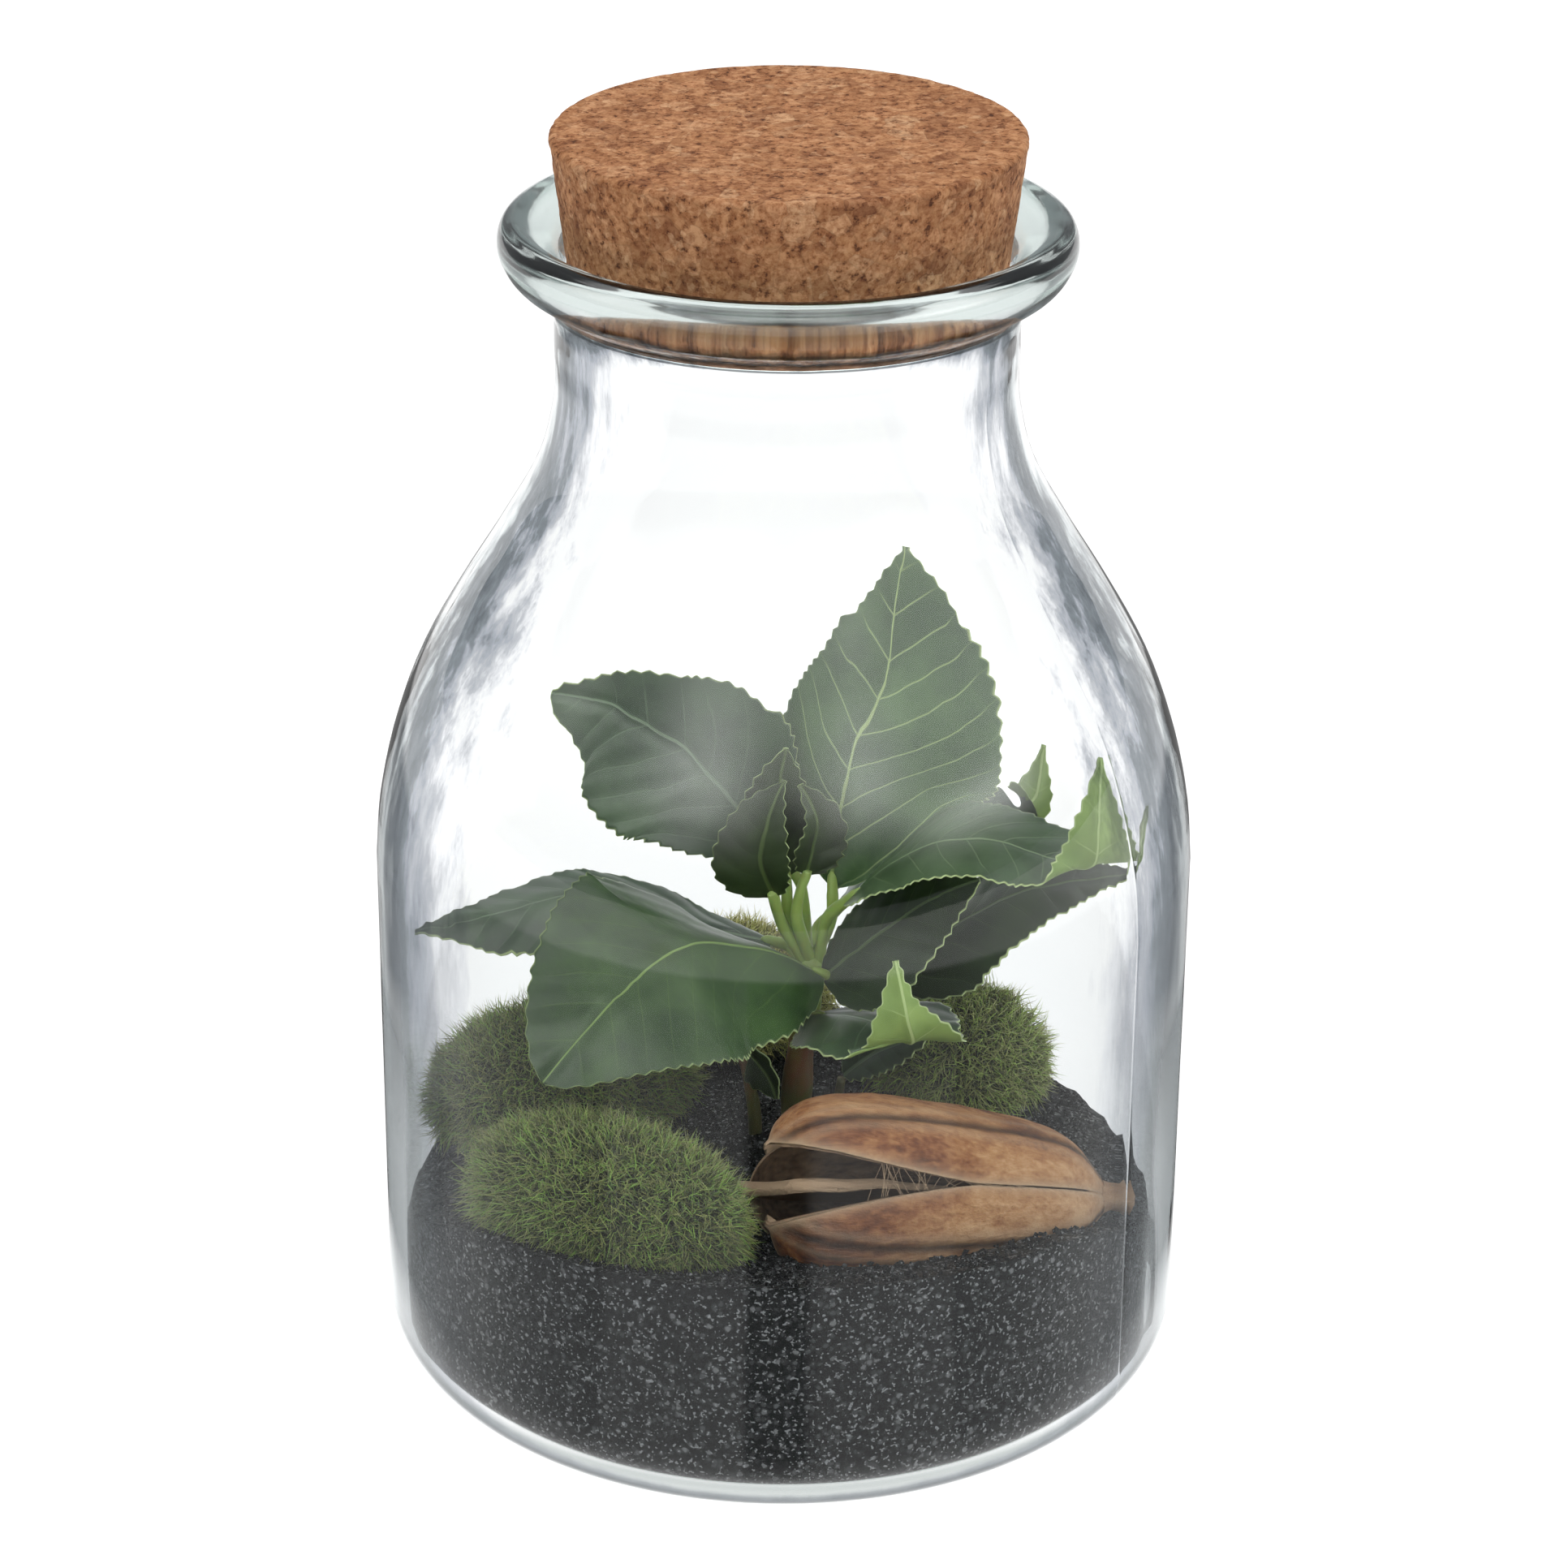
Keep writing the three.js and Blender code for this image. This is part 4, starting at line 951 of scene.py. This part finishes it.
# %% Shapes of the leaves
LEAVES = {
    "leaf_tall_right": dict(
        rib=[(9, 9, 80), (11, 13, 100), (17, 17, 118), (21, 22, 141)],
        side=[(0.9, -0.4, -0.1), (0.9, -0.4, -0.15), (0.9, -0.4, -0.2), (0.9, -0.3, -0.3)],
        half=25, shape=(0.8, 1), fold=(-26, -18), skew=(0.78, 0.66, 0.97, 1.12), face=-1),
    "leaf_upper_left": dict(
        rib=[(-3, 14, 86), (-10, 17, 94), (-16, 18, 101), (-24, 18, 107), (-31, 17, 112),
             (-40, 14, 115)],
        side=[(0.68, 0.3, 0.66), (0.68, 0.3, 0.66), (0.66, 0.3, 0.68), (0.6, 0.3, 0.7),
              (0.5, 0.3, 0.8), (0.5, 0.3, 0.8)],
        half=18.5, shape=(0.85, 0.65), fold=(12, 8), skew=(0.92, 1.12, 1.15, 0.32), face=-1),
    "leaf_young_front": dict(
        rib=[(-2, 4, 81), (-4, 1, 89), (-3, 0, 97), (0, 2, 104)],
        side=[(1, -0.2, 0)] + [(1, -0.2, 0.1)] * 3,
        half=7, shape=(0.7, 0.9), fold=(18, 18), skew=(1.1, 1, 0.7, 0.7), face=-1),
    "leaf_young_right": dict(
        rib=[(4, 4.6, 85), (5, 4, 90), (6, 3, 96), (3, 4, 102)],
        side=[(1, 0.2, 0)] + [(1, 0.2, 0.1)] * 3,
        half=5.5, shape=(0.75, 0.8), fold=(18, 18), skew=(0.7, 0.5, 1, 1), face=-1),
    "leaf_young_back": dict(
        rib=[(0, 8, 83), (-1, 8, 91), (-1, 8, 99), (0, 9, 107)],
        side=[(1, 0.1, 0)] + [(1, 0.1, 0.1)] * 3,
        half=6.5, shape=(0.75, 0.8), fold=(10, 10), skew=(1, 1, 1, 1), face=-1),
    "leaf_right_arched": dict(
        rib=[(11, 4, 80), (17, -1, 89), (24, -5, 95), (30, -8, 98), (37, -11, 99), (45, -15, 98),
             (51, -21, 100), (52, -23, 108), (52, -20, 119)],
        side=[(0.3, 0.95, 0), (0.3, 0.95, 0), (0.22, 0.97, 0), (0.22, 0.97, 0), (0.25, 0.95, 0),
              (0.5, 0.85, 0), (1, 0.3, 0.1), (1, 0.1, 0.1), (1, 0.1, 0)],
        half=14, shape=(0.7, 1), fold=(-3, -3), skew=(1, 1, 1, 1), face=1),
    "leaf_right_lower": dict(
        rib=[(17, 6, 66), (28, 5, 73.5), (35, 4, 79), (42, 3, 83), (49, 2, 85), (55, 2, 86),
             (61, 3, 88), (63, 4, 99)],
        side=[(0.1, 0.85, 0.3)] * 5 + [(0.3, 0.8, 0.3), (0.5, 0.7, 0.3), (0.6, 0.6, 0)],
        half=16, shape=(0.5, 1.5), fold=(-18, -5), skew=(1, 0.34, 0.8, 0.6), face=1),
    "leaf_right_back": dict(
        rib=[(9, 17.5, 71), (18, 24, 78), (30, 29, 82), (40, 33, 83.5), (45, 35, 85),
             (47, 36, 95)],
        side=[(0.3, 0.9, 0.1)] * 3 + [(0.4, 0.8, 0.1), (1, 0.3, 0), (1, 0, 0)],
        half=13, shape=(0.6, 1.2), fold=(-5, -5), skew=(1, 1, 0.75, 0.9), face=1),
    "leaf_left_front": dict(
        rib=[(7.5, 0.5, 67), (0, -5, 74), (-11, -12, 80), (-18, -19, 82), (-25, -24, 79),
             (-32, -28, 73), (-40, -32, 64)],
        side=[(-0.3, 0.9, 0.1), (-0.35, 0.9, 0.15), (-0.4, 0.85, 0.3), (-0.5, 0.7, 0.48),
              (-0.5, 0.66, 0.55), (-0.5, 0.6, 0.6), (-0.55, 0.4, 0.65)],
        half=21, shape=(0.9, 0.7), fold=(-30, 0), skew=(1, 1, 1, 1.2), face=-1),
    "leaf_left_back": dict(
        rib=[(-2, 12.5, 67.5), (-12, 11, 71), (-27, 9, 77), (-39, 7, 79), (-52, 5, 76),
             (-65, 2, 75)],
        side=[(0, 1, 0.1)] * 6,
        half=16, shape=(0.85, 0.9), fold=(-20, -10), skew=(1, 1, 0.8, 0.95), face=-1),
    "leaf_front_curled": dict(
        rib=[(6, 3.5, 58.5), (12, -5, 62.5), (17.5, -14, 65.5), (22, -21, 67), (21, -24, 73),
             (19, -22, 82)],
        side=[(0.9, 0.4, 0.2), (0.95, 0.3, 0.1), (1, 0.25, 0), (1, 0.2, 0), (1, 0.1, 0),
              (1, 0, 0)],
        half=16.5, shape=(0.75, 0.9), fold=(-8, -5), skew=(1, 0.6, 1.45, 0.1), face=1),
    "leaf_small_hanging": dict(
        rib=[(-5.6, 5.4, 49.6), (-4, 4, 48.6), (-2, 2, 46), (-1, 1, 43)],
        side=[(0.6, -0.5, 0.6)] * 4,
        half=3.5, shape=(0.8, 0.8), fold=(15, 15), skew=(1, 1, 1, 1), face=1),
    "leaf_right_under": dict(
        rib=[(11, 12, 42), (16, 9, 48), (21, 6, 52), (27, 2, 57)],
        side=[(-0.3, 0.8, 0.5)] * 4,
        half=7.5, shape=(0.8, 0.8), fold=(0, 0), skew=(0.5, 0.6, 1, 1), face=1),
    "leaf_right_inner": dict(
        rib=[(7, 1, 66), (15, -0.5, 74.5), (25, -1, 82.5), (34, -1, 87)],
        side=[(-0.3, 0.8, 0.4), (-0.2, 0.85, 0.4), (-0.1, 0.85, 0.4), (0, 0.85, 0.4)],
        half=11, shape=(0.75, 0.8), fold=(-10, -5), skew=(1.2, 1, 0.8, 0.8), face=1),
}
STALK_HALF = 0.9
TOOTH_SPACING = 2.4
TOOTH_DEPTH = 0.8
VEIN_SPACING = 7.5
BLADE_THICKNESS = 0.5
BLADE_STEP = 0.4
SMALL_LEAF_VEINS = 0.62
TOOTH_BACK = 0.72
BLADE_COLUMNS = np.concatenate([np.linspace(-1, -0.9, 4), np.linspace(-0.8, 0.8, 17),
                                np.linspace(0.9, 1, 4)])


# %% Build one leaf
def leaf_blade(leaf, seed):
    """Points of the upper and lower skin, row by row, and the notes for the material."""
    length = np.linalg.norm(np.diff(np.array(leaf["rib"], float), axis=0), axis=1).sum()
    t = np.linspace(0, 1, int(length / BLADE_STEP))
    rib, across = through(leaf["rib"], t), through(leaf["side"], t)
    along = unit(np.gradient(rib, axis=0))
    across = unit(across - (across * along).sum(1, keepdims=True) * along)
    up = np.cross(along, across) * leaf["face"]
    # From here on there is a row for each step along the midrib, a column for each across it
    t, rib, across, up = t[:, None], rib[:, None], across[:, None], up[:, None]
    share, left, run = np.abs(BLADE_COLUMNS), BLADE_COLUMNS < 0, t * length
    foot, tip = leaf["shape"]
    width = leaf["half"] * np.maximum(np.sin(np.pi * t ** foot), 0) ** tip
    width = np.maximum(width, np.where(t < 0.5, STALK_HALF, 0.5))
    fold = np.radians(np.interp(t, [0, 1], leaf["fold"]))
    skew = np.where(left, np.interp(t, [0, 1], leaf["skew"][:2]),
                    np.interp(t, [0, 1], leaf["skew"][2:]))
    side = np.maximum(width * skew, 0.5)
    teeth = (run / TOOTH_SPACING) % 1
    tooth = TOOTH_DEPTH * np.minimum(teeth / TOOTH_BACK, (1 - teeth) / (1 - TOOTH_BACK))
    tooth = tooth * np.clip(t / 0.08, 0, 1) * np.clip(width / 3, 0.2, 1)
    reach = share * side + tooth * share ** 8
    spacing = VEIN_SPACING * (SMALL_LEAF_VEINS if length < 35 else 1)
    vein = (run - 0.75 * reach - 0.012 * reach**2) / spacing
    # The blade swells between its veins and ripples a little towards its edge
    swell = 0.22 * np.abs(np.sin(np.pi * vein)) * np.clip(reach / 3, 0, 1)
    ripple = 0.25 * share**2 * np.sin(run / 5.2 + seed + np.where(left, 0, 2.1))
    trough = 0.35 * np.exp(-((reach / 1.1) ** 2))
    lift = reach * np.sin(fold) + swell + ripple * np.clip(width / 9, 0, 1) - trough
    spread = np.sign(BLADE_COLUMNS) * reach * np.cos(fold)
    middle = rib + spread[..., None] * across + lift[..., None] * up
    half = BLADE_THICKNESS * (0.5 - 0.2 * share)
    keel = 0.55 * np.exp(-((reach / 0.7) ** 2)) * (1 - 0.7 * t)
    kept = {"edge": np.clip(side + tooth - reach, 0, None), "across": reach, "vein": vein,
            "along": np.broadcast_to(run, reach.shape)}
    return middle + half[:, None] * up, middle - (half + keel)[..., None] * up, kept


def make_leaf(name, leaf, finishes, seed):
    """One leaf as a closed sheet, its upper faces in one finish and its lower in another."""
    upper, lower, kept = leaf_blade(leaf, seed)
    rows, columns = upper.shape[:2]
    top_out = leaf["face"] < 0
    faces = grid_faces(rows, columns, flip=not top_out)
    upper_faces = len(faces)
    faces += grid_faces(rows, columns, start=rows * columns, flip=top_out)
    faces += wall_faces(rows, columns, flip=top_out)
    points = np.vstack([upper.reshape(-1, 3), lower.reshape(-1, 3)])
    piece = make_piece(name + "_blade", points, faces, finishes, "green_leaf", name)
    for face in piece.data.polygons:
        face.material_index = 0 if face.index < upper_faces else 1
    for key, values in kept.items():
        note(piece, key, np.tile(values.ravel(), 2))


# %% [markdown]
# A leaf has a waxy skin, so it shines softly, roughness about 0.4. The upper side is deep
# green, with a yellow-green midrib, thin side veins that arch towards the tip, a faint net
# between them and a pale line along the teeth. The underside is a lighter, fresher green. The
# notes kept on the mesh, in millimetres, place all of these.


# %% Leaf finish
SMOOTH = {"interpolation_type": "SMOOTHSTEP"}


def leaf_skin(name, dark, light, vein_colour, edge_colour, roughness, vein_strength):
    """One side of a leaf: two greens in soft patches, then net, veins, midrib and edge."""
    material, tree, shader = new_material(name, Roughness=roughness, IOR=1.45,
                                          Specular_IOR_Level=0.5)
    edge, across, vein, along = noted(tree, "edge", "across", "vein", "along")
    place = own_place(tree)
    greens = ramp(tree, cloudy(tree, place, 90, 5, 0.6), (0.35, dark), (0.68, light))
    vein_bent = calc(tree, "MULTIPLY_ADD", cloudy(tree, place, 60, 2), 0.1, vein)
    side_vein = remap(tree, calc(tree, "PINGPONG", vein_bent, 0.5), 0.014, 0.036, 1, 0, **SMOOTH)
    side_vein = calc(tree, "MULTIPLY", side_vein, remap(tree, edge, 1.5, 5, 0.25))
    net = cells(tree, add(tree, "CombineXYZ", {0: along, 1: across}), 0.55, "Distance",
                feature="DISTANCE_TO_EDGE", voronoi_dimensions="2D")
    # The midrib is 1.1 mm wide at the stalk and a third of that near the tip
    rib = calc(tree, "DIVIDE", across, remap(tree, along, 0, 60, 0.4, 0.16))
    lines = calc(tree, "MULTIPLY", side_vein, vein_strength)
    for more in (remap(tree, net, 0, 0.05, 0.05, 0), remap(tree, rib, 0.5, 1.3, 1, 0, **SMOOTH)):
        lines = calc(tree, "MAXIMUM", lines, more)
    border = remap(tree, edge, 0.05, 0.3, 0.9, 0, **SMOOTH)
    fine = calc(tree, "MULTIPLY", cloudy(tree, place, 1400, 3), 0.1)
    relief = calc(tree, "MULTIPLY_ADD", lines, -0.7, fine)
    fill(tree, shader, {
        "Base Color": mix(tree, border, mix(tree, lines, greens, vein_colour), edge_colour),
        "Normal": bump(tree, relief, 0.35, 0.0003)})
    return material


leaf_top = leaf_skin("waxy_leaf_top", "#2f4a28", "#4c693e", "#93a86c", "#8d9d68", 0.42, 0.7)
front_top = leaf_skin("waxy_leaf_top_front", "#243a1d", "#3b542c", "#708a4b", "#8c9d66", 0.36,
                      0.12)
dull_top = leaf_skin("waxy_leaf_top_dull", "#283b26", "#41573b", "#60745a", "#8d9d68", 0.34, 0.4)
# Painted shade: a darker copy of the top for the two inner right leaves that lie in shade
shaded_top = leaf_skin("waxy_leaf_top_shaded", "#1b2818", "#2d3d24", "#4b5d3a", "#8d9d68", 0.4,
                       0.3)
# Painted sheen: a lighter, greyer copy of the top for the arched leaf on the right, standing for a
# soft sheen across it
sheen_painted_top = leaf_skin("waxy_leaf_top_painted_sheen", "#35482f", "#4f6547", "#7b8f6b", "#8d9d68", 0.3,
                       0.4)
# Painted shade: the young leaves and the small hanging leaf under the crown have a dark green that
# is partly their own and partly painted shade
young_shaded_top = leaf_skin("waxy_young_leaf_top_shaded", "#1f2b15", "#303f20", "#4b5c32", "#5f6f42", 0.42,
                      0.12)
leaf_under = leaf_skin("leaf_underside", "#68823f", "#86a056", "#a3b87a", "#aec089", 0.55, 0.5)
TOPS = {"leaf_tall_right": leaf_top, "leaf_left_front": front_top,
        "leaf_right_lower": shaded_top, "leaf_right_inner": shaded_top,
        "leaf_right_arched": sheen_painted_top}
for number, (name, leaf) in enumerate(LEAVES.items()):
    top = young_shaded_top if "young" in name or "small" in name else TOPS.get(name, dull_top)
    make_leaf(name, leaf, [top, leaf_under], 1.7 * number)
print("leaves:", len(LEAVES))

# %% [markdown]
# ## The stem
# One short trunk stands in the grit and carries every stalk from a swollen crown. Fresh stalks
# are yellow-green and glossy; the trunk is older and turns olive, with a red-brown flush low
# down. All are rods swept along curves that end in line with the leaf's own midrib.

# %% Places of the stems
CROWN = (5, 8.6, 65)
TRUNK = [(2.5, 6, 17), (2.5, 6, 36), (3.6, 7.4, 52), (5, 9, 67)]
SHOOTS = {
    "side_shoot_left": ([(-4.5, 5, 20), (-4.5, 5, 36), (-5.4, 5.8, 43), (-6.8, 7, 48)], 1.2),
    "side_shoot_right": ([(10, 13.5, 20), (10, 13.5, 32), (10.2, 13, 37), (10.7, 12.3, 41.2)], 1),
}
STALKS = {
    "leaf_tall_right": (5.5, 9, 66), "leaf_upper_left": (4, 10, 66),
    "leaf_young_front": (4, 7.5, 66), "leaf_young_right": (5, 7.5, 66),
    "leaf_young_back": (5, 9.5, 66), "leaf_right_arched": (6.5, 7.5, 66),
    "leaf_right_lower": (6.5, 8.5, 63), "leaf_right_back": (5.5, 10, 65),
    "leaf_left_front": (4, 7, 65), "leaf_left_back": (4, 9.5, 64.5),
    "leaf_front_curled": (4.2, 8, 56.5), "leaf_right_inner": (6, 7.5, 64),
}
STALK_LEAD = 0.45
STALK_STEPS, STALK_SIDES = 26, 12
TRUNK_STEPS, TRUNK_SIDES, TRUNK_R = 40, 22, 2.75
CROWN_HALF, CROWN_R = 3.3, 3.5
SHOOT_STEPS, SHOOT_SIDES = 24, 14


def stalk(name):
    """A leaf stalk from the crown into the foot of its blade."""
    start = np.array(STALKS[name], float)
    ends = through(LEAVES[name]["rib"], [0, 0.02, 0.05])
    heading = unit(ends[1] - ends[0])
    lead = ends[0] - STALK_LEAD * np.linalg.norm(ends[0] - start) * heading
    places = np.linspace(0, 1, STALK_STEPS)
    radii = np.interp(places, [0, 0.12, 0.7, 0.9, 1], [1.5, 1.15, 1.0, 0.8, 0.3])
    return swept(through([start, lead, ends[0], ends[2]], places), radii, STALK_SIDES)


# %% Fresh stem
def fresh_stem(name):
    """Green skin with fine lines along it, redder and browner towards the grit."""
    material, tree, shader = new_material(name, Roughness=0.38, IOR=1.45,
                                          Subsurface_Weight=0.15, Subsurface_Scale=0.002)
    place = own_place(tree)
    height = add(tree, "SeparateXYZ", {0: place}, "Z")
    level = calc(tree, "MULTIPLY_ADD", cloudy(tree, place, 260, 3), 0.22,
                 remap(tree, height, 0.03, 0.09))
    skin = ramp(tree, level, (0.1, "#3f3f22"), (0.3, "#555430"), (0.42, "#6d4a34"),
                (0.58, "#6f7a38"), (0.8, "#86a04a"), (1.0, "#9fb868"))
    lines = add(tree, "Mapping", {"Vector": place, "Scale": (1, 1, 0.12)})
    fill(tree, shader, {"Base Color": skin,
                        "Normal": bump(tree, cloudy(tree, lines, 1500, 3), 0.25, 0.0003)})
    return material


stem_skin = fresh_stem("fresh_stem_skin")
trunk_radii = [TRUNK_R + 0.25 * math.sin(k / 2.3) + (0.5 if k > 34 else 0)
               for k in range(TRUNK_STEPS)]
crown_heights = np.linspace(0.2 - CROWN_HALF, CROWN_HALF - 0.2, 13)
crown_path = [np.array(CROWN) + (0, 0, h) for h in crown_heights]
crown_radii = [CROWN_R * math.sqrt(max(0.02, 1 - (h / CROWN_HALF) ** 2)) for h in crown_heights]
stem_parts = [swept(through(TRUNK, np.linspace(0, 1, TRUNK_STEPS)), trunk_radii, TRUNK_SIDES),
              swept(crown_path, crown_radii, TRUNK_SIDES)]
stem_parts += [stalk(name) for name in STALKS]
make_piece("trunk_and_stalks", *joined(stem_parts), [stem_skin], "green_stem", "plant_stem")
for name, (path, radius) in SHOOTS.items():
    radii = np.linspace(1.15, 0.85, SHOOT_STEPS) * radius
    shoot = swept(through(path, np.linspace(0, 1, SHOOT_STEPS)), radii, SHOOT_SIDES)
    make_piece(name + "_skin", *shoot, [stem_skin], "green_stem", name)
print("stalks on the crown:", len(STALKS))

# %% [markdown]
# ## The studio
# The jar stands on a plain pale floor under large soft lamps, which is how clear glass is
# photographed: a bright ground shines through it, and its edges, painted dark in the glass, draw
# the shape. One low panel in front is there only to be mirrored, as the soft white patch on the
# upper leaves.

# %% Floor
FLOOR_HALF = 6
MIRROR_LIGHT, MIRROR_DARK = 0.5, 1
MIRROR_CENTRE = 0.035
PAPER_GLOW = 1.1


def stage_piece(name, points, faces, material):
    """A mesh of the studio, in metres, that isn't part of the object."""
    mesh = bpy.data.meshes.new(name)
    mesh.from_pydata(points, [], faces)
    mesh.materials.append(material)
    piece = bpy.data.objects.new(name, mesh)
    bpy.context.scene.collection.objects.link(piece)
    return piece


def lit_paper(name):
    """White paper that glows. Rays mirrored by the glass find it dimmed: in panels by bearing,
    in a ring beside and behind the jar, and further away; clear at its foot and far off."""
    material, tree, shader = new_material(name, Roughness=0.9, Specular_IOR_Level=0.1,
                                          Base_Color="#404040", Emission_Color="#ffffff",
                                          Emission_Strength=PAPER_GLOW)
    ray = add(tree, "LightPath", output="Is Glossy Ray")
    mirrored = calc(tree, "MULTIPLY", ray, ray.node.outputs["Is Reflection Ray"])
    place = own_place(tree)
    sideways = add(tree, "SeparateXYZ", {0: place}, "X")
    back = sideways.node.outputs["Y"]
    bearing = calc(tree, "ARCTAN2", sideways, calc(tree, "SUBTRACT", -MIRROR_CENTRE, back))
    uneven = add(tree, "TexNoise", {"W": bearing, "Scale": 5, "Detail": 3}, "Fac",
                 noise_dimensions="1D")
    spread = calc(tree, "MULTIPLY_ADD", uneven, 0.25, calc(tree, "ABSOLUTE", bearing))
    panels = ramp(tree, spread, (0.25, "#ffffff"), (0.33, "#000000"), (0.6, "#202020"),
                  (0.93, "#505050"), (1.0, "#c0c0c0"))
    reach = add(tree, "VectorMath", {0: place}, "Value", operation="LENGTH")
    beside = calc(tree, "MULTIPLY", remap(tree, back, -0.08, 0), remap(tree, reach, 0.21, 0.16))
    darker = calc(tree, "MAXIMUM", beside, remap(tree, reach, 0.17, 0.24, 0, 0.8))
    darker = calc(tree, "MAXIMUM", darker, remap(tree, panels, 0, 1, MIRROR_LIGHT, MIRROR_DARK))
    for clear in (remap(tree, reach, 0.076, 0.09), remap(tree, reach, 0.52, 0.46)):
        darker = calc(tree, "MULTIPLY", darker, clear)
    show(tree, add(tree, "MixShader", {0: calc(tree, "MULTIPLY", mirrored, darker),
                                       1: shader.outputs[0],
                                       2: add(tree, "BsdfDiffuse", {"Color": "#000000"})}))
    return material


corners = [(x * FLOOR_HALF, y * FLOOR_HALF, 0) for x, y in ((-1, -1), (1, -1), (1, 1), (-1, 1))]
stage_piece("floor", corners, [(0, 1, 2, 3)], lit_paper("white_paper"))
print("floor, metres across:", 2 * FLOOR_HALF)


# %% Lamps
def soft_lamp(name, place, aim, size, watts, mirrored=True):
    """A lamp of the given size in metres, turned towards aim."""
    data = bpy.data.lights.new(name, "AREA")
    data.shape = "RECTANGLE"
    data.size, data.size_y = size
    data.energy = watts
    lamp = bpy.data.objects.new(name, data)
    lamp.location = place
    heading = Vector(aim) - Vector(place)
    lamp.rotation_euler = heading.to_track_quat("-Z", "Y").to_euler()
    lamp.visible_camera = False
    lamp.visible_glossy = mirrored
    bpy.context.scene.collection.objects.link(lamp)
    return lamp


soft_lamp("lamp_above", (0, 0.1, 1.0), (0, 0, 0.05), (1.0, 1.0), 6.5)
soft_lamp("lamp_front_left", (-0.9, -0.8, 0.7), (0, 0, 0.08), (0.7, 0.7), 1.5, mirrored=False)
soft_lamp("lamp_front_right", (1.0, -0.5, 0.6), (0, 0, 0.08), (0.6, 0.8), 1, mirrored=False)

# %% Soft window in front
WINDOW_AWAY = 1.3
WINDOW_BRIGHTNESS = 2.4
WINDOW_GRID = (72, 30)
WINDOW_SIDE = 95
WINDOW_LOW, WINDOW_HIGH = 2, 56
JAR_MIDDLE = 0.12


def step(low, high, value):
    t = np.clip((value - low) / (high - low), 0, 1)
    return t * t * (3 - 2 * t)


def window_glow(around, above):
    """Brightness of the silk in each direction from the jar, angles in degrees: a wide band,
    brighter patches low on both sides, and the camera's shadow between them."""
    sides = step(WINDOW_SIDE, WINDOW_SIDE - 20, np.abs(around))
    lower = 6 * step(25, 50, around)
    heights = step(8 - lower, 22 - lower, above) * step(WINDOW_HIGH, WINDOW_HIGH - 10, above)
    shadow = 0.9 * np.exp(-((around / 16) ** 2) - ((above - 17) / 13) ** 2)
    patch = np.exp(-((np.abs(around) - 24) / 14) ** 2 - ((above - 29) / 9) ** 2)
    patch += 1.2 * np.exp(-((around - 62) / 16) ** 2 - ((above - 15) / 6) ** 2)
    frame_post = 0.68 * np.exp(-((around + 58) / 20) ** 2)
    return (WINDOW_BRIGHTNESS * sides * heights * (1 + 1.2 * patch) * (1 - shadow)
            * (1 - frame_post))


around, above = np.meshgrid(np.linspace(-WINDOW_SIDE, WINDOW_SIDE, WINDOW_GRID[0]),
                            np.linspace(WINDOW_LOW, WINDOW_HIGH, WINDOW_GRID[1]))
turn_by, lift_by = np.radians(around.ravel()), np.radians(above.ravel())
window_points = WINDOW_AWAY * np.stack([np.sin(turn_by), -np.cos(turn_by), np.tan(lift_by)], 1)
window_points[:, 2] += JAR_MIDDLE
silk, silk_tree, _ = new_material("lit_silk")
show(silk_tree, add(silk_tree, "Emission", {"Strength": noted(silk_tree, "glow")[0]}))
window = stage_piece("soft_window", window_points.tolist(),
                     grid_faces(WINDOW_GRID[1], WINDOW_GRID[0]), silk)
window.visible_camera = False
window.visible_diffuse = False
glow = window_glow(around, above)
note(window, "glow", glow)
print("soft window, brightest:", round(float(glow.max()), 1))

# %% Room
world = bpy.data.worlds.new("studio")
world.use_nodes = True
fill(world.node_tree, world.node_tree.nodes["Background"], {"Color": "#dfe4e8", "Strength": 0.45})
scene = bpy.context.scene
scene.world = world
scene.view_settings.view_transform = "Standard"
BOUNCES = {"max": 24, "transmission": 24, "diffuse": 3, "glossy": 8}
for kind, count in BOUNCES.items():
    setattr(scene.cycles, kind + "_bounces", count)
